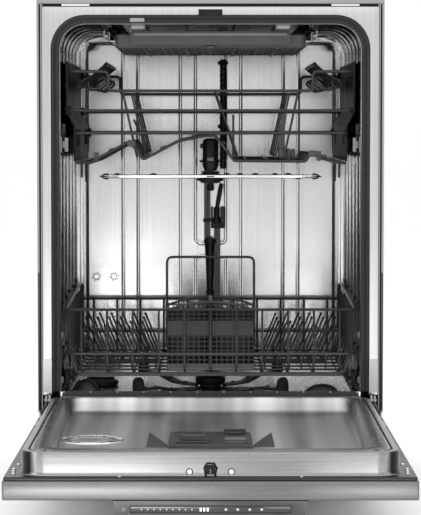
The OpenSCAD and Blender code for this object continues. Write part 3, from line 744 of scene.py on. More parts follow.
def trims():
    lo_t, hi_t = low("edge_trims"), high("edge_trims")
    hw, ft = high("front_frame").x, high("front_frame").z
    strip = hi_t.z - 6.5
    light = [((-HALF_W, at_depth(1), strip), (HALF_W, at_depth(34), hi_t.z))]
    light += mirrored([((hw + 5.4, at_depth(1), lo_t.z), (HALF_W, at_depth(22), strip - 0.6)),
                       ((hw + 0.4, at_depth(2.2), lo_t.z), (hw + 2.6, at_depth(22), strip - 1.4))])
    boxes("trim_strips", light, "cabinet", TRIM_GREY, ["edge_trims"], 0.7)
    dark = [((-hw + 1, at_depth(4), ft + 0.4), (hw - 1, at_depth(12), strip - 0.3))]
    dark += mirrored([((hw + 2.8, at_depth(3.2), lo_t.z), (hw + 5.2, at_depth(20), strip - 1.4))])
    boxes("trim_seals", dark, "cabinet", SEAL_BLACK, radius=0.5)
    bumpers = mirrored([((hw + 5.8, at_depth(0.2), lo_t.z + 4), (HALF_W - 1.2, at_depth(3), 392))])
    boxes("edge_bumpers", bumpers, "cabinet", SEAL_BLACK, radius=1.0, segments=3)
    clips = mirrored([((207, at_depth(1.6), ft + 0.9), (255, at_depth(8), strip - 0.6))])
    boxes("worktop_clips", clips, "cabinet", WHITE_PLASTIC, radius=0.6)
    dress("worktop_brackets", BRIGHT_STEEL)


# ---- Casing and what stands under the tub ----

CASING_HEAD = [(0, 5), (0.8, 5), (1.6, 4.4), (2.3, 3), (2.0, 0.5)]


def casing():
    lo_p, hi_p = low("side_panels"), high("side_panels")
    skin, middle_y = hi_p.x, centre_of("side_panels")[1]

    def side_relief(y, z):
        field = inside_arch(y - middle_y, z, (hi_p.y - lo_p.y) / 2 - 38, hi_p.z - 60, 26, lo_p.z + 150)
        rise = 1.8 * step_up(field, 5)
        for level in (330, 480, 630):
            rise -= 1.6 * bead_of(abs(z - level), 7) * step_up(field - 26, 10)
        return rise

    ys = grid_lines(lo_p.y, hi_p.y, 14)
    near = (-7, -5, -3, -1, 0, 1, 3, 5, 7)
    zs = grid_lines(lo_p.z, hi_p.z, 16, (lo_p.z + 150, 330, 480, 630, hi_p.z - 60), near)
    for side, label in SIDES:
        pressed(f"side_sheet_{label}", ys, zs, side_relief, lambda y, z, h, s=side: Vector((s * (skin + h), y, z)),
                "cabinet", ZINC, ["side_panels"], thickness=0.8)
    lo_r, hi_r = low("rear_panel"), high("rear_panel")

    def rear_relief(x, z):
        return -1.6 * step_up(inside_arch(x, z, hi_r.x - 40, 735, 24, 210), 5)

    def slot(x, z):
        return 760 < z < 766 and abs((x + 210) % 60 - 30) < 18 and abs(x) < 200

    slot_edges = [x + n for x in range(-180, 181, 60) for n in (-18, 18)]
    xs = grid_lines(lo_r.x, hi_r.x, 16, slot_edges + [-hi_r.x + 40, hi_r.x - 40], (0,))
    zs = grid_lines(lo_r.z, hi_r.z, 16, (210, 735), (-4, -2, 0, 2, 4))
    zs = sorted(set(zs) | {760, 766})
    pressed("rear_sheet", xs, zs, rear_relief, lambda x, z, h: Vector((x, hi_r.y - 0.5 + h, z)), "cabinet", ZINC,
            ["rear_panel"], slot, 0.8)
    lo_c, hi_c = low("top_panel"), high("top_panel")
    middle = centre_of("top_panel")[1]

    def top_relief(x, y):
        cross = min(abs(abs(x) - 150), abs(y - middle))
        field = inside_arch(x, y, hi_c.x - 30, hi_c.y - 30, 20, lo_c.y + 60)
        return -1.4 * bead_of(cross, 8) * step_up(field, 8)

    pressed("top_sheet", grid_lines(lo_c.x, hi_c.x, 16, (-150, 150), near),
            grid_lines(lo_c.y, hi_c.y, 16, (middle,), near), top_relief,
            lambda x, y, h: Vector((x, y, hi_c.z - 0.4 + h)), "cabinet", ZINC, ["top_panel"], thickness=0.8)
    screws = []
    for side in (-1, 1):
        for z in (80, 300, 560, 820):
            for y in (lo_p.y + 14, hi_p.y - 14):
                screws.append(((side * skin, y, z), (side * (skin + 2.6), y, z), CASING_HEAD))
    for x in (-270, -90, 90, 270):
        for z in (168, 838):
            screws.append(((x, hi_r.y - 0.6, z), (x, hi_r.y + 2.2, z), CASING_HEAD))
    turned("casing_screws", screws, "cabinet", BRIGHT_STEEL, segments=20)


def base_parts():
    dress("base", BASE_BLACK)
    lo_b, hi_b = low("base"), high("base")
    ribs = []
    for k in range(9):
        y = lo_b.y + 60 + k * 52
        ribs += mirrored([((hi_b.x - 12.4, y, lo_b.z + 8), (hi_b.x + 1.6, y + 4, hi_b.z - 3))])
    ribs += mirrored([((hi_b.x - 13, lo_b.y + 2, hi_b.z - 5), (hi_b.x + 2, hi_b.y - 2, hi_b.z + 0.4))])
    boxes("base_ribs", ribs, "cabinet", BASE_BLACK, radius=1.0)
    lo_k, hi_k = low("kick_plate"), high("kick_plate")
    folds = [((lo_k.x, lo_k.y, lo_k.z), (hi_k.x, lo_k.y + 1.8, hi_k.z)),
             ((lo_k.x, lo_k.y, hi_k.z - 2), (hi_k.x, lo_k.y + 12, hi_k.z)),
             ((lo_k.x, lo_k.y, lo_k.z), (hi_k.x, lo_k.y + 7, lo_k.z + 2))]
    folds += [((x - 10, lo_k.y + 1, 24), (x + 10, hi_k.y, 32)) for x in (-210, 210)]
    boxes("toe_plate", folds, "cabinet", BASE_BLACK, ["kick_plate"], 0.7)
    lo_w, hi_w = low("counterweight"), high("counterweight")
    boxes("ballast_block", [(lo_w, hi_w)], "cabinet", CONCRETE, ["counterweight"], 5, 3)
    dress("power_inlet", BLACK_PLASTIC)
    left, back, z = low("power_inlet").x, high("power_inlet").y, centre_of("power_inlet")[2]
    pins = [((left + x, back - 18, z - 3), (left + x + 2, back - 4, z + 3)) for x in (8, 14, 20)]
    boxes("inlet_pins", pins, "cabinet", BRIGHT_STEEL, radius=0.4)


def fittings():
    rear = high("water_inlet").y
    wall = low("power_inlet").y + 20
    x, z = 200, 95
    bm = bmesh.new()
    thread = [(0, 12.0)]
    for k in range(13):
        thread += [(16 + k * 1.8, 11.8), (16.5 + k * 1.8, 13.1), (17.1 + k * 1.8, 13.1), (17.6 + k * 1.8, 11.8)]
    thread += [(40, 12.4), (rear - wall + 2, 12.2), (rear - wall + 2, 9.4), (24, 9.2), (23.8, 0)]
    add_tube(bm, (x, wall - 2, z), (x, rear, z), thread, 40)
    add_box(bm, (x - 20, wall - 50, z - 25), (x + 20, wall - 4, z + 6), 3, 3)
    add_tube(bm, (x, wall - 27, z + 4), (x, wall - 27, z + 30), [(0, 16), (3, 17), (22, 17), (25, 15), (26, 9)], 32)
    from_bmesh("fill_valve", bm, "cabinet", WHITE_PLASTIC, ["water_inlet"])
    x, z = 140, 84
    bm = bmesh.new()
    front = low("drain_pump").y
    motor = [(0, 20), (1, 27), (3, 28), (9, 28), (10, 35), (12, 36), (23, 36), (25, 35), (26, 28), (60, 28),
             (61, 26), (66, 26), (67, 28), (90, 28), (93, 22)]
    add_tube(bm, (x, front, z), (x, rear, z), motor, 48)
    spout = rear - front - 90
    barbs = [(0, 9.2)]
    for k in range(4):
        barbs += [(spout - 26 + k * 7, 9.2), (spout - 24 + k * 7, 10.5)]
    barbs += [(spout, 9.6), (spout, 7), (60, 7)]
    add_tube(bm, (x, front + 90, 95), (x, rear, 95), barbs, 32)
    from_bmesh("drain_pump_unit", bm, "cabinet", BASE_BLACK, ["drain_pump"])
    lo_c, hi_c = low("circulation_pump"), high("circulation_pump")
    _, y, z = centre_of("circulation_pump")
    bm = bmesh.new()
    fins = [(0, 20), (1.5, 40), (4, 42), (28, 42), (30, 40), (31, 35)]
    for k in range(10):
        fins += [(36 + k * 11, 33.5), (37 + k * 11, 36), (42 + k * 11, 36), (43 + k * 11, 33.5)]
    fins += [(149, 34), (150, 24), (172, 23.5), (175, 20)]
    add_tube(bm, (lo_c.x, y, z), (hi_c.x, y, z), fins, 48)
    add_box(bm, (95, y - 25, 32.5), (150, y + 25, z - 20), 3)
    from_bmesh("wash_pump", bm, "cabinet", BASE_BLACK, ["circulation_pump"])
    lo_s = low("softener_tank")
    bm = bmesh.new()
    add_box(bm, lo_s, (-115, at_depth(425), 140), 7, 3)
    neck = [(0, 27), (8, 27), (10, 25.4), (29, 25.4), (29, 21), (14, 21)]
    add_tube(bm, (SALT.x, SALT.y, 128), (SALT.x, SALT.y, FLOOR + 1), neck, 40)
    for k in range(5):
        y0 = lo_s.y + 20 + k * 24
        add_box(bm, (-249.4, y0, 44), (-113.6, y0 + 3, 132), 1)
    from_bmesh("softener_unit", bm, "cabinet", WHITE_PLASTIC, ["softener_tank"])
    coils = []
    for side in (-1, 1):
        turns, start, length = 34, at_depth(112), 186
        coil = [Vector((side * 262 + 7.4 * math.cos(a * math.pi / 6), start + length * a / (12 * turns),
                        60 + 7.4 * math.sin(a * math.pi / 6))) for a in range(12 * turns + 1)]
        coils.append([Vector((side * 262, at_depth(82), 60)), Vector((side * 262, start - 6, 60))] + coil
                     + [Vector((side * 262, start + length + 6, 60)), Vector((side * 262, at_depth(328), 60))])
    wires("balance_springs", coils, 3.0, "cabinet", BRIGHT_STEEL, ["door_springs"], bend=0.5)
    anchors = mirrored([((258, at_depth(326), 50), (276, at_depth(334), 70))])
    boxes("spring_anchors", anchors, "cabinet", BRIGHT_STEEL, radius=1)
    dress("hinge_brackets", HINGE_STEEL)
    stem = [(0, 16), (0.6, 18.4), (5, 19), (7.6, 18.2), (9, 15), (10, 6), (14, 5)]
    stem += [(21, 5)] + [step for k in range(17) for step in ((22 + 2 * k, 4.2), (23 + 2 * k, 5.0))] + [(56, 4)]
    for name in CORNERS:
        cx, cy, _ = centre_of(f"foot_{name}")
        bm = bmesh.new()
        add_tube(bm, (cx, cy, 0), (cx, cy, 56), stem, 32)
        add_tube(bm, (cx, cy, 14), (cx, cy, 21), [(0, 7), (0.8, 8), (6.2, 8), (7, 7)], 6)
        from_bmesh(f"levelling_{name}", bm, f"foot_{name}", MID_PLASTIC, [f"foot_{name}"])


# ---- Door ----

PANEL_OUT = low("door_panel").z - HINGE.z            # door coordinate w of the outer face
FLANGE = -27.6                                       # the liner's flange
RIM = 8                                              # its sealing rim
FIELD = -19                                          # its sunk field
LINER_HW, LINER_U0, LINER_U1 = 273, 5, 676


def outer_panel():
    hw, end, foot = HALF_W, DOOR_LEN, HINGE.y - high("door_panel").y
    top = high("door_panel").z - HINGE.z
    bm = bmesh.new()
    rings = []
    for inset, w in ((3.2, PANEL_OUT), (1.2, PANEL_OUT + 0.35), (0.3, PANEL_OUT + 1.3), (0, PANEL_OUT + 3),
                     (0, top - 0.8), (0.5, top), (7, top), (7.6, top - 1), (7.6, PANEL_OUT + 1.6)):
        rings.append(door_ring(bm, w, hw - inset, foot + inset, end - inset, max(0.8, 3.5 - inset)))
    bridge(bm, rings, last=False)
    from_bmesh("outer_panel", bm, "door", DOOR_STEEL, ["door_panel"], 50)
    dress("door_core", FELT)


def field_half(u):
    """Half the width of the sunk field, which narrows towards the door's top edge."""
    return 247 - 14 * smooth((u - 385) / 70)


def inner_door():
    bm = bmesh.new()
    rings = []

    def ring(hx, u0, u1, radius, w, warp=False):
        made = []
        for x, u in rounded_ring(hx, u0, u1, radius, 9):
            if warp:
                x *= 1 + (field_half(u) - 240) / 240
            made.append(bm.verts.new(on_door(x, u, w)))
        rings.append(made)

    edge = HALF_W - 2
    for inset, w in ((1.2, -33), (0, -32), (0, FLANGE - 1.2), (1, FLANGE)):
        ring(edge - inset, -4 + inset, DOOR_LEN - 2 - inset, 4, w)
    for inset, w in ((-4.5, FLANGE), (-2, FLANGE + 0.8), (-0.5, FLANGE + 3), (0, FLANGE + 6), (0, RIM - 4.5),
                     (1.2, RIM - 1.5), (4, RIM), (8.6, RIM), (9.4, RIM - 2.4), (12, RIM - 2.4), (12.8, RIM)):
        ring(LINER_HW - inset, LINER_U0 + inset, LINER_U1 - inset, 37 - inset, w)
    for grow, rear, w in ((3, 0, RIM), (0.9, 0, RIM - 1), (0, 2, RIM - 3.5), (-2.2, 17, -12), (-4.6, 22, -17),
                          (-9, 26, FIELD), (-13, 30, FIELD)):
        ring(240 + grow, 17 - grow + rear, 640 + grow, 26 + grow, w, True)
    bridge(bm, rings, first=False)
    made = from_bmesh("inner_door", bm, "door", SHADED_LINER_STEEL, ["door_liner"], 40)
    made.data.materials.append(LIT_FIELD_STEEL)
    made.data.materials.append(SHADED_FLANGE_STEEL)
    # the flange takes the painted-shade copy of the steel, the sunk field the lighter painted-light copy
    for polygon in made.data.polygons:
        centre = polygon.center / MM
        x, u, w = centre.x, HINGE.y - centre.y, centre.z - HINGE.z
        if w < FLANGE + 0.6:
            polygon.material_index = 2
        elif w < RIM - 0.5 and abs(x) < 246 and 16 < u < 645:
            polygon.material_index = 1


def door_fittings():
    """Seals, screws, plugs and the pressed marks of the inner door."""
    groove = rounded_ring(LINER_HW - 10.7, LINER_U0 + 10.7, LINER_U1 - 10.7, 26, 8)
    seal = [on_door(x, u, RIM - 1.6) for x, u in groove]
    wires("rim_seal", [seal], 2.2, "door", SEAL_BLACK, closed=True, bend=0.5)
    lines = [[on_door(s * x, u, RIM - 0.4) for u in (24, 652)] for s in (-1, 1) for x in (263.6, 257.4)]
    wires("rim_lines", lines, 1.2, "door", BRIGHT_STEEL)
    for side, label in SIDES:
        wedge(f"rim_mark_{label}", [(side * 234, 668), (side * 244, 668), (side * 238, 652)], 0.25, RIM)
    heads = [(0, 3.2), (0.7, 3.2), (1.3, 2.6), (1.6, 1.6), (1.2, 0.4)]
    spots = ((287, 606), (285.5, 628), (284, 650), (284, 560), (284, 300), (286, 200))
    screws = [(on_door(s * x, u, FLANGE - 0.1), on_door(s * x, u, FLANGE + 1.9), heads)
              for s in (-1, 1) for x, u in spots]
    turned("liner_screws", screws, "door", CHROME, segments=24)
    face, z = HINGE.y - LINER_U1, HINGE.z - 21
    for name, out, profile, material in (
            ("face_plugs", 1.6, [(0, 4), (0.8, 4), (1.5, 3.2), (1.7, 0)], WHITE_PLASTIC),
            ("plug_collars", 0.8, [(0, 5.2), (0.7, 5.2), (1.0, 4.9), (1.0, 3.9)], SEAL_BLACK)):
        plugs = [((x, face + 0.3, z), (x, face - out, z), profile) for x in (-30, 30)]
        turned(name, plugs, "door", material, segments=24)
    dots = [(on_door(x, 680, FLANGE), on_door(x, 680, FLANGE + 1.2), [(0, 2.4), (0.8, 2.4), (1.2, 1.2)])
            for x in (-130, 130)]
    turned("flange_studs", dots, "door", CHROME, segments=20)
    bm = bmesh.new()
    rings = []
    outline = ((-5, 10), (5, 10), (8.3, 3.5), (6.2, -6), (2.5, -10), (-2.5, -10), (-6.2, -6), (-8.3, 3.5))
    for grow, out in ((2.4, -0.2), (2.2, -1.8), (1.2, -2.6), (0, -2.6), (-0.8, -1.4), (-0.8, 0.5)):
        ring = []
        for x, w in outline:
            share = 1 + grow / math.hypot(x, w)
            ring.append(bm.verts.new((x * share, face + out, HINGE.z - 19.5 + w * share)))
        rings.append(ring)
    bridge(bm, rings, first=False)
    from_bmesh("latch_frame", bm, "door", DARK_PLASTIC, sharp=30)
    dress("latch_claw", GREY_PLASTIC)
    for name, hx, y0, y1, z0, z1, material in (("latch_back", 7, -0.6, 0.4, 27.5, 11, SEAL_BLACK),
                                               ("latch_mark", 0.9, -1.1, -0.5, 25, 17, MID_PLASTIC)):
        corners = [((-hx, face + y0, HINGE.z - z0), (hx, face + y1, HINGE.z - z1))]
        boxes(name, corners, "door", material, radius=0.2)
    dress("hinge_arms", HINGE_STEEL)
    ring_at, level = (-188, 358), FIELD + 0.2
    for radius, d in ((51, 3.4), (45, 1.6), (30, 1.2)):
        circle = [on_door(*point, level) for point in around(48, radius, *ring_at)]
        wires(f"pressed_ring_{radius}", [circle], d, "door", BRIGHT_STEEL, closed=True, bend=0.2)
    marks = [[on_door(*start, level), on_door(*end, level)]
             for start, end in zip(around(12, 34, *ring_at), around(12, 42, *ring_at))]
    wires("pressed_ring_ticks", marks, 1.6, "door", SEAL_BLACK)


def wedge(name, points, height, level=FIELD):
    """Three-sided dimple that stands out of the sunk field, or out of the rim; the dark ones on the field are a
    painted reflection of the dispenser.
    """
    bm = bmesh.new()
    centre = Vector((sum(p[0] for p in points) / 3, sum(p[1] for p in points) / 3))
    base = [bm.verts.new(on_door(x, u, level - 0.2)) for x, u in points]
    mid = [bm.verts.new(on_door(*(Vector(p) * 0.97 + centre * 0.03), level + height * 0.7)) for p in points]
    tip = [bm.verts.new(on_door(*(Vector(p) * 0.92 + centre * 0.08), level + height)) for p in points]
    bridge(bm, [base, mid, tip], first=False)
    return from_bmesh(name, bm, "door", TRAY_PLASTIC, sharp=40)


def dispenser():
    lo_b, hi_b = low("dispenser_body"), high("dispenser_body")
    hx, u0, u1 = hi_b.x, HINGE.y - hi_b.y, HINGE.y - lo_b.y
    top = hi_b.z - HINGE.z
    bm = bmesh.new()
    rings = []
    for inset, w in ((-1.4, FIELD + 0.1), (-1.2, FIELD + 2), (0, FIELD + 3), (0.6, top - 2), (2, top - 0.4),
                     (3.5, top)):
        rings.append(door_ring(bm, w, hx - inset, u0 + inset, u1 - inset, 9))
    bridge(bm, rings, first=False)
    head = [(0, 4), (1.5, 4), (1.9, 3), (1.2, 0.5)]
    for cx, cu in ((-53, 342), (53, 470), (53, 342), (-53, 470)):
        add_tube(bm, on_door(cx, cu, top - 1), on_door(cx, cu, top + 1), head, 20)
    from_bmesh("dispenser_frame", bm, "door", GREY_PLASTIC, ["dispenser_body"])
    lid_lo, lid_hi = low("dispenser_lid"), high("dispenser_lid")
    a0, a1 = HINGE.y - lid_hi.y, HINGE.y - lid_lo.y
    cx, half = (lid_lo.x + lid_hi.x) / 2, (lid_hi.x - lid_lo.x) / 2
    bm = bmesh.new()
    rings = []
    for inset, w in ((0, top + 0.5), (0, top + 1.6), (0.8, top + 2.6), (2.2, top + 3), (6, top + 3),
                     (8, top + 1.7)):
        rings.append(door_ring(bm, w, half - inset, a0 + inset, a1 - inset, max(1, 8 - inset * 0.6), 6, cx))
    bridge(bm, rings)
    for k in range(5):
        add_box(bm, on_door(cx - 17, a1 - 26 + k * 4, top + 1), on_door(cx + 17, a1 - 24 + k * 4, top + 4), 0.6, 1)
    add_box(bm, on_door(cx - 13, a0 + 9, top + 1), on_door(cx + 13, a0 + 3, top + 6), 1.2, 2)
    from_bmesh("detergent_lid", bm, "dispenser_lid", GREY_PLASTIC, ["dispenser_lid"])
    bars = [(on_door(cx - half + 6, a0 + 14, top + 1.5), on_door(cx + half - 6, a0 + 10, top + 3.4))]
    boxes("lid_bar", bars, "dispenser_lid", MID_PLASTIC, radius=0.5)
    rx, ry, _ = centre_of("rinse_cap")
    z0 = HINGE.z + top + 0.5
    bm = bmesh.new()
    cap = [(0, 12.5), (4, 12.8), (4, 17.2), (4.8, 18), (6, 18), (6.9, 16.8), (7.1, 0)]
    add_tube(bm, (rx, ry, z0 - 4), (rx, ry, z0 + 4), cap, 48)
    add_box(bm, (rx - 17, ry - 3, z0 + 2), (rx + 17, ry + 3, z0 + 6.4), 1.4, 3)
    from_bmesh("rinse_aid_cap", bm, "rinse_cap", GREY_PLASTIC, ["rinse_cap"])
    panes = [(on_door(x0, u0, top - 0.6), on_door(x1, u1, top + 0.3))
             for x0, u0, x1, u1 in ((22, 430, 54, 398), (24, 456, 52, 450))]
    boxes("rinse_window", panes, "door", MID_PLASTIC, radius=0.25)
    # dark wedges beside the dispenser: a painted reflection of the dispenser in the sunk field
    for side, label in SIDES:
        wedge(f"dispenser_reflection_wedge_{label}", [(side * 61, 446), (side * 99, 440), (side * 98, 275)], 2)


def console_parts():
    lo_c, hi_c = low("console"), high("console")
    depth = hi_c.z - lo_c.z
    half, taper = hi_c.x, depth * math.tan(math.radians(14))
    front, back = lo_c.y, hi_c.y
    bm = bmesh.new()

    def ring(y, inset):
        top, bottom = hi_c.z - inset, lo_c.z + inset
        outline = [(-half + inset, top), (half - inset, top),
                   (half - taper - inset, bottom), (taper - half + inset, bottom)]
        return [bm.verts.new((x, y, z)) for x, z in outline]

    outer = [ring(back, 0), ring(front + 1.4, 0), ring(front + 0.4, 0.5), ring(front, 1.6)]
    bridge(bm, outer, first=False, last=False)
    lo_d, hi_d = low("display"), high("display")
    left, right, sill, head = lo_d.x - 0.6, hi_d.x + 0.6, lo_d.z - 0.6, hi_d.z + 0.6
    inner = [bm.verts.new((x, front, z)) for x, z in ((left, head), (right, head), (right, sill), (left, sill))]
    deep = [bm.verts.new((v.co.x, front + 4, v.co.z)) for v in inner]
    bridge(bm, [outer[-1], inner, deep], first=False, last=False)
    # pocket that opens towards the back of the door's edge: a lip all round and its hollow inside
    lips = [bm.verts.new((x * 0.82, back, z)) for x, z in ((-half, hi_c.z - 4), (half, hi_c.z - 4),
                                                          (half - taper, lo_c.z + 4), (taper - half, lo_c.z + 4))]
    floor_ = [bm.verts.new((v.co.x, back - 26, v.co.z)) for v in lips]
    bridge(bm, [outer[0], lips, floor_], first=False, last=True)
    from_bmesh("console_shell", bm, "door", CONSOLE_STEEL, ["console"])
    boxes("display_window", [((lo_d.x, lo_d.y + 0.2, lo_d.z), (hi_d.x, hi_d.y, hi_d.z))], "door", DISPLAY_BLACK,
          ["display"], 0.8, 3)
    y, mid = lo_d.y + 0.15, (lo_d.z + hi_d.z) / 2
    # a row of digits' dots, four crosses and three bars, as (x, half-width, half-height)
    marks = [(lo_d.x + 16 + k * 9, 0.7, 0.7) for k in range(9)]
    marks += [(22 + k * 17, hx, hz) for k in range(4) for hx, hz in ((2.2, 0.4), (0.4, 2))]
    marks += [(-14 + k * 5, 1.4, 2.6) for k in range(3)]
    dots = [((x - hx, y - 0.12, mid - hz), (x + hx, y + 0.2, mid + hz)) for x, hx, hz in marks]
    boxes("display_marks", dots, "door", ICON, radius=0.1, segments=1)
    lo_b, hi_b = low("power_button"), high("power_button")
    bx, _, bz = centre_of("power_button")
    cap = [(0, 3.6), (0.3, 3.9), (6, 3.9), (6.8, 3.4), (6.9, 2.2), (6.6, 0)]
    turned("power_cap", [((bx, hi_b.y, bz), (bx, lo_b.y, bz), cap)], "power_button", MID_PLASTIC,
           ["power_button"], 32)


# ---- Upper rack ----

UP_FRONT, UP_BACK = low("upper_rack_ends").y + 2.6, high("upper_rack_ends").y - 2.6
UPPER_FLOOR = ((-235, 581), (-210, 580), (-140, 618), (-117, 586), (-56, 618), (-8, 628), (8, 628),
               (41, 584), (155, 583), (165, 583), (172, 595), (187, 593), (214, 582), (235, 580))


def floor_height(x):
    """Height of the upper rack's bent cross wires at x."""
    for (x0, z0), (x1, z1) in zip(UPPER_FLOOR, UPPER_FLOOR[1:]):
        if x0 <= x <= x1:
            return z0 + (z1 - z0) * (x - x0) / (x1 - x0)
    return UPPER_FLOOR[0][1]


def upper_rack_wires():
    rims, mid, thin = [], [], []
    for y, inward, drop in ((UP_FRONT, 1, 177), (UP_BACK, -1, 173)):
        hook = y + inward * 20
        rims.append([(-243, hook, 734), (-243, y, 738.5), (-drop, y, 738.5), (-drop, y, 705), (drop, y, 705),
                     (drop, y, 738.5), (243, y, 738.5), (243, hook, 734)])
        for z in (671, 632):
            reach = 242 if z == 671 else 234
            mid.append([(-reach, hook, z), (-reach, y, z), (reach, y, z), (reach, hook, z)])
    for k in range(6):
        y = at_depth(45 + 82 * k)
        mid.append([(x, y, z) for x, z in UPPER_FLOOR])
    wires("upper_rack_rim", rims, 5.4, "upper_rack", WIRE_COAT, ["upper_rack_ends"], bend=9)
    wires("upper_rack_cross_wires", mid, 5.0, "upper_rack", WIRE_COAT, ["upper_rack_floor"], bend=6)
    for x in (-222, -175, -86, -32, 0, 24.5, 60, 98, 136, 200, 225):
        z = floor_height(x) + (4 if x != 24.5 else 8)
        thin.append([(x, UP_FRONT + 6, z), (x, UP_BACK - 6, z)])
    wires("upper_rack_long_wires", thin, 3.6, "upper_rack", WIRE_COAT)
    tines = []
    for (x0, z0), (x1, z1) in (((-114, 594), (-138, 701)), ((114, 590), (138, 701)), ((47, 590), (8, 707))):
        tines.append([(x0, at_depth(52), z0), (x0, at_depth(448), z0)])
        for d in range(70, 431, 120):
            y = at_depth(d)
            tines.append([(x0, y - 5, z0), (x0, y, z0 + 4), (x1, y, z1)])
    wires("upper_rack_tines", tines, 3.2, "upper_rack", WIRE_COAT, bend=4)
    # short stemware tines and the wires that drop from the rim
    low_tines = [[(-113, at_depth(150), 600), (-113, at_depth(156), 606), (-137, at_depth(156), 656)],
                 [(-128, at_depth(60), 590), (-152, UP_FRONT + 5, 704), (-152, UP_FRONT + 1, 706)],
                 [(128, at_depth(60), 590), (152, UP_FRONT + 5, 704), (152, UP_FRONT + 1, 706)],
                 [(40, at_depth(88), 590), (40, at_depth(88), 664)]]
    for s in (-1, 1):
        low_tines.append([(s * 238, at_depth(446), 584), (s * 238, at_depth(446), 538)])
        low_tines.append([(s * 246, at_depth(446), 584), (s * 246, at_depth(446), 546)])
    wires("upper_rack_low_tines", low_tines, 4.0, "upper_rack", WIRE_COAT, bend=3)


def upper_rack_sides():
    lo_s, hi_s = low("upper_rack_sides"), high("upper_rack_sides")
    middle = ((249, 756), (249, 669), (236, 645), (236, 583))
    for side, label in SIDES:
        bm = bmesh.new()
        outer = [(x + 1.2, z) for x, z in middle]
        inner = [(x - 1.2, z) for x, z in reversed(middle)]
        loop = filleted([Vector((side * x, 0, z)) for x, z in outer + inner], 1.0, 2, closed=True)
        ys = (lo_s.y, lo_s.y + 60, hi_s.y - 60, hi_s.y)
        bridge(bm, [[bm.verts.new((p.x, y, p.z)) for p in loop] for y in ys])
        # stiffening edges, the lift's housing, its lever and the clips that hold the rails
        for z in (672, 712, 751):
            add_box(bm, (side * 249, lo_s.y + 2, z), (side * 251.6, hi_s.y - 2, z + 4), 0.9, 1)
        for y in (lo_s.y, hi_s.y - 2.4):
            for (x0, z0), (x1, z1) in zip(middle, middle[1:]):
                length = math.hypot(x1 - x0, z1 - z0)
                add_tube(bm, (side * x0, y + 1.2, z0), (side * x1, y + 1.2, z1), [(0, 1.7), (length, 1.7)], 8)
        for x, z in ((246, 741), (246, 671), (233.5, 632)):
            for y in (lo_s.y + 2, hi_s.y - 10):
                add_box(bm, (side * (x - 3), y, z - 6), (side * (x + 3), y + 8, z + 6), 1.6, 2)
        for y0 in (lo_s.y + 40, hi_s.y - 120):
            add_box(bm, (side * 237, y0, 600), (side * 246, y0 + 80, 623), 3, 2)
            add_box(bm, (side * 232.5, y0 + 20, 612), (side * 237, y0 + 56, 636), 1.6, 2)
        from_bmesh(f"rack_side_{label}", bm, "upper_rack", DARK_PLASTIC,
                   ["upper_rack_sides"] if side < 0 else (), sharp=40)
    # moulded stemware holder on the right and the floor clips
    bm = bmesh.new()
    for x0, x1, top in ((118, 131, 606), (132.5, 140, 605.4), (141, 148, 604.8)):
        add_box(bm, (x0, at_depth(60), 588), (x1, at_depth(86), top), 3.4, 3)
    add_box(bm, (120, at_depth(66), 587), (152, at_depth(80), 592), 1.5, 2)
    rows = []
    y0, y1 = at_depth(64), at_depth(69)
    for x0, x1, z in ((118, 128, 602), (120.5, 130, 640), (123, 133, 664), (124, 132, 665.5)):
        rows.append([bm.verts.new((x, y, z)) for x, y in ((x0, y0), (x1, y0), (x1, y1), (x0, y1))])
    bridge(bm, rows)
    for x, z in ((-198, 590), (188, 592)):
        add_box(bm, (x - 4, at_depth(43), z - 8), (x + 4, at_depth(49), z + 9), 1.6, 2)
    for x, z in ((-139, 614), (176, 596)):
        add_box(bm, (x - 6, at_depth(42), z - 5), (x + 9, at_depth(50), z + 6), 2, 2)
    from_bmesh("stemware_holder", bm, "upper_rack", GREY_PLASTIC, sharp=40)


def cup_shelves():
    lean = math.radians(41.6)               # the shelves' slope at rest
    for side, label in SIDES:
        node = f"cup_shelf_{label}"
        pivot = joint_place(f"{node}_tilt")
        y0, y1 = at_depth(60), at_depth(430)

        def at(r, y, h):
            return Vector((side * (abs(pivot.x) - r * math.cos(lean) + h * math.sin(lean)), y,
                           pivot.z + r * math.sin(lean) + h * math.cos(lean)))

        bm = bmesh.new()

        def slab(r0, r1, ya, yb, h0, h1):
            corners = [at(r, y, h) for h in (h0, h1) for r, y in ((r0, ya), (r1, ya), (r1, yb), (r0, yb))]
            made = [bm.verts.new(c) for c in corners]
            bridge(bm, [made[:4], made[4:]])
            bevelled(bm, made, 0.6, 1)

        slab(5, 60, y0, y1, -1.0, 1.0)
        slab(57, 62, y0, y1, -2.4, 2.6)
        slab(3, 9, y0, y1, -2.0, 1.8)
        for k in range(19):
            y = y0 + 3 + k * (y1 - y0 - 9) / 18
            slab(7, 59, y, y + 2.6, -2.2, 2.0)
        for k in range(4):
            y = y0 + 16 + k * 106
            slab(0, 12, y, y + 18, -4.4, 4.4)
        add_tube(bm, (pivot.x, at_depth(52), pivot.z), (pivot.x, at_depth(438), pivot.z),
                 [(0, 2.4), (0.6, 3), (385.4, 3), (386, 2.4)], 16)
        from_bmesh(f"folding_shelf_{label}", bm, node, DARK_PLASTIC, [node], 40)
        hooks = []
        for d in (66, 186, 306, 424):
            y = at_depth(d)
            for run in (((16, -3), (8, -10), (18, -22), (40, -22), (41, -13), (30, -12)),
                        ((2, 4), (14, 5), (22, 1.5))):
                hooks.append([at(r, y, h) for r, h in run])
        wires(f"shelf_hooks_{label}", hooks, 4.0, node, WIRE_COAT, bend=4)


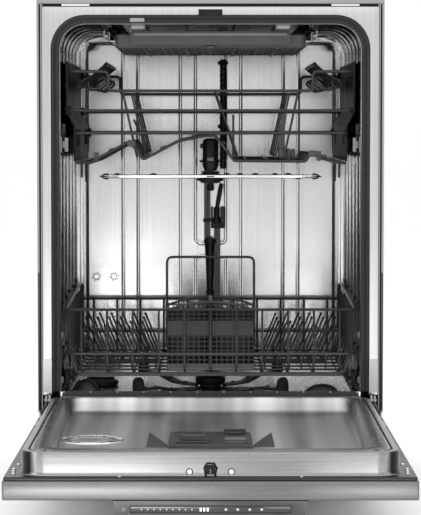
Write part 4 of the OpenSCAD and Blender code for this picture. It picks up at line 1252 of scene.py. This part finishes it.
def spray_arm_upper():
    cy, half = centre_of("upper_arm")[1], high("upper_arm").x
    bm = bmesh.new()
    rings = []
    for inset, z in ((3.5, 549), (1, 549.4), (0, 550.4), (0, 551.5), (3.4, 552), (3.4, 553), (0, 553.5), (0, 555),
                     (1.2, 555.8), (4, 556)):
        ring = []
        for k in range(64):
            angle = 2 * math.pi * k / 64
            c, s = math.cos(angle), math.sin(angle)
            width = 15 + 5 * smooth(1 - abs(c) ** 3)
            ring.append(bm.verts.new(((half - 4 - inset) * squared(c, 0.35),
                                      cy + (width - inset) * squared(s, 0.6), z)))
        rings.append(ring)
    bridge(bm, rings)
    from_bmesh("upper_spray_arm", bm, "upper_arm", BRIGHT_STEEL, ["upper_arm"], 45)
    parts = []
    for x in (-170, -104, 30, 54, 82, 118, 142):
        y = cy + (5 if x > 0 else -5)
        parts.append(((x, y, 555.4), (x, y, 559), [(0, 6.5), (0.8, 6.5), (2.4, 4.4), (3.2, 1.8), (1, 1.2)]))
    parts.append(((160, cy - 6, 549.6), (160, cy - 6, 546.4), [(0, 6), (1.6, 5), (2.6, 2), (1, 1.2)]))
    turned("upper_arm_nozzles", parts, "upper_arm", BLACK_PLASTIC, segments=20)
    tip = [(0, 5.6), (7, 5.4), (11, 3.6), (13, 1.4), (16.6, 1.0)]
    tips = [((s * (half - 17), cy - 2, 552.5), (s * (half - 0.4), cy - 2, 552.5), tip) for s in (-1, 1)]
    turned("upper_arm_tips", tips, "upper_arm", DARK_PLASTIC, segments=24)
    hub = [(0, 12), (1, 18), (3, 19), (4, 19), (4.5, 24), (6, 24.5), (8, 24.5), (8.6, 20), (9, 18), (17.5, 18),
           (18.5, 14), (20, 17), (21.6, 17), (22, 12)]
    turned("upper_arm_hub", [((0, cy, 540), (0, cy, 562), hub)], "upper_arm", BLACK_PLASTIC)


def manifold():
    cy = centre_of("upper_arm")[1]
    end = at_depth(474)
    bottle = [(0, 11.6), (3, 12), (10, 15), (14, 14.6), (15, 16), (20, 16), (21, 14.4), (52, 14.2), (56, 12.6),
              (58.4, 9), (59, 0)]
    tube = [(0, 8)]
    for k in range(14):
        tube += [(18 + k * 14, 7.4), (20 + k * 14, 8), (26 + k * 14, 8), (28 + k * 14, 7.4)]
    tube += [(end - cy - 2, 8), (end - cy, 7)]
    mast = [(0, 5.6), (3, 7), (8, 7), (9, 6.2), (46, 6.2), (48, 7), (55, 7), (56, 6)]
    turned("rack_manifold", [((0, cy, 563), (0, cy, 622), bottle), ((0, cy, 572), (0, end, 572), tube),
                             ((0, at_depth(468), 520), (0, at_depth(468), 576), mast)],
           "upper_rack", BLACK_PLASTIC, ["upper_manifold"])
    clips = [((-19, cy - 4, 604), (-13, cy + 4, 612)), ((-20, cy - 4, 578), (-10, cy + 3, 582)),
             ((10, cy - 4, 578), (18, cy + 3, 582)), ((-6, cy - 17, 596), (6, cy - 13.6, 618))]
    boxes("manifold_clips", clips, "upper_rack", DARK_PLASTIC, radius=1)
    plate = [((-6, cy - 17.2, 581), (6, cy - 14, 587))]
    boxes("manifold_plate", plate, "upper_rack", MID_PLASTIC, radius=0.6)


# ---- Rails and cutlery tray ----

def rails():
    dress("rails_fixed", HINGE_STEEL)
    dress("upper_rails_mid", HINGE_STEEL)
    stops = mirrored([((252, at_depth(22), 625.4), (258.4, at_depth(34), 631.6)),
                      ((252, at_depth(22), 592.6), (258.4, at_depth(34), 598.6)),
                      ((176.5, at_depth(20), 808.6), (185, at_depth(30), 818))])
    boxes("rail_stops", stops, "cabinet", DARK_PLASTIC, radius=1.5, segments=3)
    hangers = mirrored([((252.5, at_depth(d), 612), (259.2, at_depth(d + 26), 648)) for d in (60, 240, 430)])
    hangers += mirrored([((171, at_depth(d), 815), (188, at_depth(d + 22), 819.4)) for d in (50, 240, 430)])
    boxes("rail_hangers", hangers, "cabinet", GREY_PLASTIC, radius=1)


def tray():
    y0, y1 = at_depth(36), at_depth(465)
    bm = bmesh.new()
    rings = []
    for inset, z in ((6, 779), (1.4, 779.6), (0.4, 781), (0, 799), (-0.8, 801), (1.4, 801.6), (2.6, 800.6),
                     (3, 784), (5, 782), (12, 781.4)):
        rings.append([bm.verts.new((x, y, z)) for x, y in rounded_ring(165 - inset, y0 + inset, y1 - inset, 12, 5)])
    bridge(bm, rings, first=False, last=False)
    # the floor is an open lattice between crossing ribs
    for k in range(23):
        x = -154 + k * 14
        add_box(bm, (x - 1, y0 + 4, 780), (x + 1, y1 - 4, 782.4))
    for k in range(30):
        y = y0 + 12 + k * 14
        add_box(bm, (-160, y - 1, 780), (160, y + 1, 782.2))
    for x in (-115, -41.5, 41.5, 115):
        add_box(bm, (x - 2.2, y0 + 3, 776.5), (x + 2.2, y1 - 3, 790), 0.8, 1)
    for k in range(9):
        y = y0 + 40 + k * 44
        for x0, x1 in ((-113, -43), (43, 113)):
            add_box(bm, (x0, y, 781), (x1, y + 2, 790), 0.5, 1)
    from_bmesh("cutlery_tray_pan", bm, "cutlery_tray", TRAY_PLASTIC, ["cutlery_tray"], 40)
    bm = bmesh.new()
    rows = []
    for inset, d in ((3, 26), (1, 26.4), (0, 27.6), (0, 35), (1, 36.6)):
        outline = rounded_ring(139 - inset, 783 + inset, 807.5 - inset, 9, 5)
        rows.append([bm.verts.new((x, at_depth(d), z)) for x, z in outline])
    bridge(bm, rows)
    add_tube(bm, (0, at_depth(33), 782), (0, at_depth(33), 776), [(0, 8), (4, 8), (6, 5)], 24)
    from_bmesh("tray_handle", bm, "cutlery_tray", TRAY_PLASTIC)
    trim = [((-132, at_depth(25.6), 800), (132, at_depth(27), 803.5))]
    boxes("tray_handle_trim", trim, "cutlery_tray", MID_PLASTIC, radius=0.6)
    runners = mirrored([((164, y0, 789), (175.5, y1, 792)), ((173.5, y0, 789), (175.5, y1, 806)),
                        ((173.5, at_depth(40), 804), (181.6, at_depth(461), 806.5))])
    boxes("tray_runners", runners, "cutlery_tray", HINGE_STEEL, radius=0.7)


# ---- Lower rack ----

LOW_FRONT, LOW_BACK = low("lower_rack_walls").y + 2.6, high("lower_rack_walls").y - 2.6
LOW_HW = 250
TIPS = 291                                      # height of the tines' ends
UPRIGHT_PITCH = 45                              # of the upright wires of the end walls
TINE_PITCH = 21.5


def lower_rack_wires():
    front_top, back_top, side_top = 326, 312, 346
    rims = [[(-LOW_HW, LOW_FRONT + 30, front_top + 4), (-LOW_HW, LOW_FRONT, front_top),
             (LOW_HW, LOW_FRONT, front_top), (LOW_HW, LOW_FRONT + 30, front_top + 4)],
            [(-LOW_HW, LOW_BACK, back_top), (LOW_HW, LOW_BACK, back_top)]]
    for s in (-1, 1):
        rims.append([(s * LOW_HW, LOW_FRONT + 26, front_top + 3), (s * LOW_HW, LOW_BACK, side_top - 3),
                     (s * LOW_HW, LOW_BACK, 214)])
    wires("lower_rack_rim", rims, 5.0, "lower_rack", WIRE_COAT, ["lower_rack_walls"], bend=8)
    hoops = []
    for hw, z, inset in ((LOW_HW, 249, 0), (236, 212, 3)):
        near, far = LOW_FRONT + inset, LOW_BACK - inset
        hoops.append([(-hw, near, z), (hw, near, z), (hw, far, z), (-hw, far, z)])
    wires("lower_rack_hoops", hoops, 4.4, "lower_rack", WIRE_COAT, ["lower_rack_floor"], closed=True, bend=20)
    thin = []
    front, back = LOW_FRONT + 4.7, LOW_BACK - 4.7
    for x in range(-225, 226, UPRIGHT_PITCH):
        thin.append([(x, front, front_top), (x, front, 268), (x, front + 3, 246), (x, front + 9, 224),
                     (x, front + 22, 209.5), (x, back - 18, 209.5), (x, back, 224), (x, back, back_top + 3)])
    side = LOW_HW - 4.7
    for k in range(8):
        y = at_depth(45 + 58 * k)
        top = front_top + (side_top - front_top - 4) * (y - LOW_FRONT) / (LOW_BACK - LOW_FRONT)
        thin.append([(-side, y, top), (-side, y, 249), (-side + 12, y, 214), (side - 12, y, 214),
                     (side, y, 249), (side, y, top)])
    wires("lower_rack_wires", thin, 3.8, "lower_rack", WIRE_COAT, bend=10)
    rows = []
    for d in (120, 210, 300):
        for s in (-1, 1):
            rows += leaning_row(s, at_depth(d), 218)
    wires("lower_rack_tines", rows, 3.4, "lower_rack", WIRE_COAT, bend=5)
    turned("lower_rack_tine_tips", knobs(rows), "lower_rack", WIRE_COAT, segments=10)
    rack_wheels()


def rack_wheels():
    feet, pins = [], []
    for corner in CORNERS:
        hub = joint_place(f"wheel_{corner}_spin")
        s = 1 if hub.x > 0 else -1
        for x0, x1, dy, z0, z1 in ((238, 242, 9, hub.z - 6, 222), (232, 241, 14, 209, 218)):
            left, right = sorted((s * x0, s * x1))
            feet.append(((left, hub.y - dy, z0), (right, hub.y + dy, z1)))
        pins.append(((s * 239, hub.y, hub.z), (s * 256.2, hub.y, hub.z), [(0, 3), (16.2, 3), (16.4, 4.6), (17, 4)]))
    boxes("wheel_carriers", feet, "lower_rack", DARK_PLASTIC, radius=1.6)
    turned("wheel_axles", pins, "lower_rack", DARK_PLASTIC, segments=20)
    tyre = [(0, 12.8), (0, 14.6), (0.8, 15.7), (2, 16), (6, 16), (7.2, 15.7), (8, 14.6), (8, 12.8), (6, 12.2),
            (6, 6.4), (7.6, 5.8), (7.6, 3.3), (0.4, 3.3), (0.4, 5.8), (2, 6.4), (2, 12.2)]
    for corner in CORNERS:
        node = f"wheel_{corner}"
        left, right = low(node).x, high(node).x
        _, y, z = centre_of(node)
        bm = bmesh.new()
        add_tube(bm, (left, y, z), (right, y, z), tyre, 40)
        for start, end in zip(around(6, 6, y, z), around(6, 13, y, z)):
            add_tube(bm, (left + 4, *start), (left + 4, *end), [(0, 2.6), (7, 1.8)], 8)
        from_bmesh(f"rack_{node}", bm, node, DARK_PLASTIC, [node], 40)


def leaning_row(s, y, z):
    """Rod across one side of the rack and its tines, which lean outwards."""
    reach = (TIPS - z - 6) * math.tan(math.radians(22))
    runs = [[(s * 90, y, z), (s * 212, y, z)]]
    for i in range(6):
        x = s * (97 + i * TINE_PITCH)
        runs.append([(x, y, z - 5), (x, y, z + 8), (x + s * reach, y, TIPS)])
    return runs


def knobs(runs):
    """The thicker coating on the last millimetres of each leaning tine."""
    ends = []
    for run in runs:
        if len(run) == 3:
            foot, tip = Vector(run[1]), Vector(run[2])
            back = (foot - tip).normalized() * 5
            ends.append((tip + back, tip, [(0, 1.6), (1.2, 2.3), (4.2, 2.4), (5.2, 1.6), (5.6, 0.4)]))
    return ends


def folding_tines():
    axis = joint_place("fold_tines_fold")
    runs = leaning_row(-1, axis.y, axis.z) + leaning_row(1, axis.y, axis.z)
    runs.append([(-231, axis.y, axis.z), (231, axis.y, axis.z)])
    for k in range(-3, 4):
        x = k * TINE_PITCH
        runs.append([(x, axis.y, axis.z), (x, axis.y, TIPS - 2)])
    wires("folding_tine_row", runs, 3.4, "fold_tines", WIRE_COAT, ["fold_tines"], bend=5)
    turned("folding_tine_tips", knobs(runs), "fold_tines", WIRE_COAT, segments=10)
    locks = [((x - 6, axis.y - 3.4, axis.z - 3), (x + 6, axis.y + 3.4, axis.z + 3.4)) for x in (-86, 86)]
    boxes("tine_locks", locks, "fold_tines", DARK_PLASTIC, radius=1.5)


def basket():
    lo_b = low("cutlery_basket")
    y0, y1, bottom = at_depth(48), at_depth(176), lo_b.z
    hw = 76.5
    halves = ((-hw, -1), (1, hw))

    def top_at(x):
        return 338 - 15 * (x / hw) ** 2

    bm = bmesh.new()
    for x0, x1 in halves:
        n = 8
        step = (x1 - x0) / n
        for y in (y0, y1 - 2.4):
            for k in range(n + 1):
                x = x0 + k * step
                cx = min(max(x, x0 + 1.2), x1 - 1.2)
                add_box(bm, (cx - 0.8, y, bottom + 12), (cx + 0.8, y + 2.4, top_at(cx)), 0.4, 1)
            for k in range(13):
                z = bottom + 19 + k * 8
                add_box(bm, (x0, y + 0.3, z - 0.8), (x1, y + 2.1, z + 0.8), 0.4, 1)
            add_box(bm, (x0, y - 0.4, bottom), (x1, y + 2.8, bottom + 13), 1, 1)
        for x in (x0, x1 - 2.4):
            for k in range(11):
                y = y0 + k * (y1 - y0 - 2.6) / 10
                add_box(bm, (x, y, bottom + 12), (x + 2.4, y + 2.6, top_at(x)), 0.5, 1)
            for k in range(8):
                z = bottom + 22 + k * 12.4
                add_box(bm, (x + 0.3, y0, z - 1.1), (x + 2.1, y1, z + 1.1), 0.4, 1)
            add_box(bm, (x - 0.2, y0, bottom), (x + 2.6, y1, bottom + 13), 1, 1)
        for k in range(11):
            y = y0 + k * (y1 - y0 - 3) / 10
            add_box(bm, (x0, y, bottom), (x1, y + 3, bottom + 2.4), 0.4, 1)
        for k in range(n + 1):
            x = x0 + k * step
            add_box(bm, (max(x0, x - 1.5), y0, bottom), (min(x1, x + 1.5), y1, bottom + 2.2), 0.4, 1)
    from_bmesh("basket_lattice", bm, "basket", BASKET_PLASTIC, ["cutlery_basket"], 40)
    plates = [((x0, y1 - 4.6, bottom + 6), (x1, y1 - 3.2, 318)) for x0, x1 in ((-hw + 2, -3), (3, hw - 2))]
    plates += [((x0, y0 + 60, bottom + 6), (x1, y0 + 61.4, 305)) for x0, x1 in ((-hw + 3, -3), (3, hw - 3))]
    boxes("basket_plates", plates, "basket", BLACK_PLASTIC, radius=0.5)
    bands = [((x0, y0 + 0.2, 279), (x1, y0 + 1.9, 305)) for x0, x1 in ((-hw + 1, -2), (2, hw - 1))]
    boxes("basket_bands", bands, "basket", BASKET_PLASTIC, radius=0.5)
    rims = []
    for x0, x1 in halves:
        xs = [x0 + (x1 - x0) * k / 8 for k in range(9)]
        rims.append([(x, y0 + 1.2, top_at(x)) for x in xs] + [(x, y1 - 1.2, top_at(x)) for x in reversed(xs)])
    wires("basket_rims", rims, 4.2, "basket", GREY_PLASTIC, closed=True, bend=3)
    feet = [((x0, y0 - 0.9, bottom + 0.2), (x1, y0 + 0.6, bottom + 4.6)) for x0, x1 in ((-70, -8), (8, 70))]
    boxes("basket_feet", feet, "basket", GREY_PLASTIC, radius=0.5)
    bail = at_depth(112)
    wires("basket_bail", [[(-77, bail, 262), (-77, bail, 413), (77, bail, 413), (77, bail, 262)]], 4.6, "basket",
          WIRE_COAT, bend=11)
    sockets = mirrored([((72, bail - 6, 254), (79, bail + 6, 292))])
    boxes("bail_sockets", sockets, "basket", DARK_PLASTIC, radius=1.5)


# ---- Lower spray arm and water feed ----

def spray_arm_lower():
    """Four arms low over the sump, each raised to a jet block at its end."""
    joint = joint_place("lower_arm_spin")
    base = low("lower_arm").z + 0.5
    # along the arm: (distance, height, half-width); across it: (share of the half-width, height);
    # of the jet block: (height, start, end, half-width)
    side = ((24, 0, 13), (60, 0, 13.5), (98, 0, 13), (122, 5.5, 12.5), (146, 11.2, 12), (180, 11.4, 11),
            (205, 11.6, 9), (211, 12.4, 6))
    section = ((-0.8, 0), (0.8, 0), (1, 0.8), (1, 2.2), (0.86, 3.2), (0.5, 4.4), (0, 4.8), (-0.5, 4.4),
               (-0.86, 3.2), (-1, 2.2), (-1, 0.8))
    levels = ((12, 194, 211, 8.5), (20, 194.6, 211.4, 8.5), (28, 196, 211, 8), (33, 198, 210, 7),
              (36.4, 201, 208, 4))
    bm = bmesh.new()
    jets = []
    for turn in (51, 129, 231, 309):
        c, s = math.cos(math.radians(turn)), math.sin(math.radians(turn))

        def at(a, b, h):
            return (joint.x + a * c - b * s, joint.y + a * s + b * c, base + h)

        bridge(bm, [[bm.verts.new(at(a, b * w, h + t)) for b, t in section] for a, h, w in side])
        bridge(bm, [[bm.verts.new(at(a, b, h)) for a, b in ((a0, -w), (a1, -w + 2), (a1, w - 2), (a0, w))]
                    for h, a0, a1, w in levels])
        for a, h in ((70, 4.6), (116, 9), (158, 15.6), (184, 15.6)):
            jets.append((at(a, 3, h - 0.6), at(a, 3, h + 2), [(0, 5), (1, 4.8), (2.2, 3.4), (2.6, 1.8), (1, 1.2)]))
    from_bmesh("lower_spray_arm", bm, "lower_arm", BLACK_PLASTIC, ["lower_arm"], 40)
    hub = [(0, 22), (0.5, 27), (3, 28), (8, 28), (10, 26), (12, 27.4), (19, 27.4), (22, 25), (24.5, 20),
           (25.3, 12), (25.4, 0)]
    stack = [((joint.x, joint.y, base - 0.5), (joint.x, joint.y, base + 25), hub)]
    turned("lower_arm_hub", stack, "lower_arm", BLACK_PLASTIC)
    turned("lower_arm_nozzles", jets, "lower_arm", GREY_PLASTIC, segments=20)
    stud = [(0, 2), (3.4, 2), (4.4, 1.4), (4.6, 0)]
    studs = [((x, joint.y - 19, base + 6), (x, joint.y - 24, base + 6), stud) for x in (joint.x - 21, joint.x + 20)]
    turned("hub_studs", studs, "lower_arm", WHITE_PLASTIC, segments=16)


def feed():
    y = at_depth(488)
    pipes = []
    for x, share in ((-8.6, 1), (-2.8, 0.72)):
        profile = [(d, r * share) for d, r in ((0, 3.4), (1, 3.7), (152, 3.7), (154, 3.2))]
        pipes.append(((x, y, 424), (x, y, 578), profile))
    for x, r, top in ((8.6, 1.9, 452), (12.8, 2.1, 470), (17, 1.9, 452)):
        pipes.append(((x, y - 2, FLOOR), (x, y - 2, top), [(0, r), (top - FLOOR, r)]))
    turned("feed_pipes", pipes, "cabinet", MID_PLASTIC, segments=20)
    funnel = [(0, 5.4), (2, 6), (10, 6.3), (60, 8.2), (94, 10.4), (97, 11.6), (103, 12), (105, 11), (106, 6),
              (106.2, 0)]
    lower = [(0, 7), (165, 7), (166, 8), (172, 8), (173, 6)]
    upper = [(0, 6.4)]
    for k in range(0, 200, 10):
        upper += [(4 + k, 6.0), (5 + k, 6.6), (11 + k, 6.6), (12 + k, 6.0)]
    upper += [(210, 6.2)]
    sleeve = [(0, 7), (1, 8), (17, 8), (18, 6.8), (20, 6.8), (21, 6), (38, 6), (40, 4.6)]
    turned("feed_column", [((-1, y, 322), (-1, y, 428), funnel), ((-1, y, FLOOR), (-1, y, 330), lower),
                           ((24.6, y, 562), (24.6, y, 772), upper), ((12, y, 448), (12, y, 490), sleeve),
                           ((13, y, 488), (21, y, 534), [(0, 3.6), (8, 4.4), (34, 4.4), (44, 3.8), (46, 3)])],
           "cabinet", BLACK_PLASTIC, ["feed_duct"])
    rib = [((-1, y - 9, 430), (-1, y - 4.4, 326), [(0, 6), (10, 2.6), (104, 2.2)])]
    turned("feed_rib", rib, "cabinet", GREY_PLASTIC, segments=16)
    clips = [((-14, y - 6, 459), (6, y + 6, 466)), ((1, y - 8, 447), (25, y + 6, 458)),
             ((1, y - 6, 458), (4.6, y + 6, 489))]
    clips += [((14, y + 1, z), (34, y + 9, z + 7)) for z in (640, 762)]
    boxes("feed_clips", clips, "cabinet", BLACK_PLASTIC, radius=1.6)
    boxes("feed_guard", [((19, y - 4, 447), (27, y + 6, 489))], "cabinet", GREY_PLASTIC, radius=1.6)


# ---- Stage, lights and camera ----

# Here everything is in metres, watts and degrees.
FLOOR_CORNERS = ((-30, -30), (30, -30), (30, 60), (-30, 60))
MOUTH = at_depth(16) * MM
LIGHTS = (
    # name, place, target, (width, height), power
    ("front_soft", (0.3, -4.2, 2.3), (0, 0.2, 0.45), (3.2, 1.8), 12),
    ("left_soft", (-2.6, -1.8, 1.6), (0, 0, 0.4), (1.4, 2.2), 16),
    ("right_soft", (2.8, -1.6, 1.5), (0, 0, 0.4), (1.2, 2.2), 6),
    ("top_soft", (0, -0.6, 3.4), (0, -0.8, 0.4), (3.2, 3.2), 30),
    ("mouth_low", (0, MOUTH, 0.225), (0, 0.58, 0.225), (0.5, 0.09), 0.15),
    ("mouth_middle", (0, MOUTH, 0.33), (0, 0.58, 0.33), (0.5, 0.12), 0.006),
    ("mouth_high", (0, MOUTH, 0.7), (0, 0.58, 0.7), (0.5, 0.24), 0.1))
CARD_SHARES = (10.5, 10.5, 10, 5.2, 1.2, 0.3, 5, 9)
CARD_POWER, CARD_PITCH, CARD_START = 0.034, 0.11, -0.385
LENS_MM = 159.9
EYE_HEIGHT, EYE_AWAY = 0.645, 3.93
EYE_DOWN = 3.3


def area_light(name, place_, target, size, power):
    data = bpy.data.lights.new(name, "AREA")
    data.shape = "RECTANGLE"
    data.size, data.size_y = size
    data.energy = power
    lamp = bpy.data.objects.new(name, data)
    bpy.context.collection.objects.link(lamp)
    lamp.location = place_
    lamp.rotation_euler = (Vector(target) - Vector(place_)).to_track_quat("-Z", "Y").to_euler()


def stage():
    bm = bmesh.new()
    bm.faces.new([bm.verts.new((x, y, 0)) for x, y in FLOOR_CORNERS])
    mesh = bpy.data.meshes.new("studio_floor")
    bm.to_mesh(mesh)
    bm.free()
    floor = bpy.data.objects.new("studio_floor", mesh)
    bpy.context.collection.objects.link(floor)
    paper, tree, shader = new_nodes("studio_paper")
    slow = noise_of(tree, (1, 1, 1), 2, 2)
    tree.links.new(tinted(tree, slow, (0.985, 0.985, 0.985), (1.0, 1.0, 1.0)), shader.inputs["Base Color"])
    shader.inputs["Roughness"].default_value = 0.9
    mesh.materials.append(paper)
    world = bpy.data.worlds.new("studio")
    bpy.context.scene.world = world
    world.use_nodes = True
    sky = world.node_tree.nodes["Background"]
    sky.inputs["Color"].default_value = (1, 1, 1, 1)
    sky.inputs["Strength"].default_value = 1.0
    bpy.context.scene.view_settings.view_transform = "Standard"
    for light in LIGHTS:
        area_light(*light)
    # a row of small cards before the door's edge: bright on the left, dim right of the middle
    for k, share in enumerate(CARD_SHARES):
        x = CARD_START + k * CARD_PITCH
        area_light(f"edge_card_{k + 1}", (x, -1.3, 0.13), (x, -0.8, 0.14), (CARD_PITCH, 0.13), CARD_POWER * share)
    for side, power in ((-1, 0.9), (1, 0.6)):
        area_light(f"corner_card_{side + 2}", (side * 0.78, -1.36, 0.1), (side * 0.27, -0.6, 0.13),
                   (0.7, 0.13), power)


def camera():
    data = bpy.data.cameras.new("view")
    data.lens = LENS_MM
    data.clip_end = 40
    eye = bpy.data.objects.new("view", data)
    bpy.context.collection.objects.link(eye)
    eye.location = (0, FRONT * MM - EYE_AWAY, EYE_HEIGHT)
    eye.rotation_euler = (math.radians(90 - EYE_DOWN), 0, 0)
    bpy.context.scene.camera = eye


for build in (camera, stage, tub_skin, tub_back_sheet, tub_floor_sheet, filter_parts, salt_lid, rack_reflection_domes,
              ceiling_lamps, wall_screws, gasket_and_frame, trims, casing, base_parts, fittings,
              outer_panel, inner_door, door_fittings, dispenser, console_parts, upper_rack_wires,
              upper_rack_sides, cup_shelves, spray_arm_upper, manifold, rails, tray,
              lower_rack_wires, folding_tines, basket, spray_arm_lower, feed):
    build()
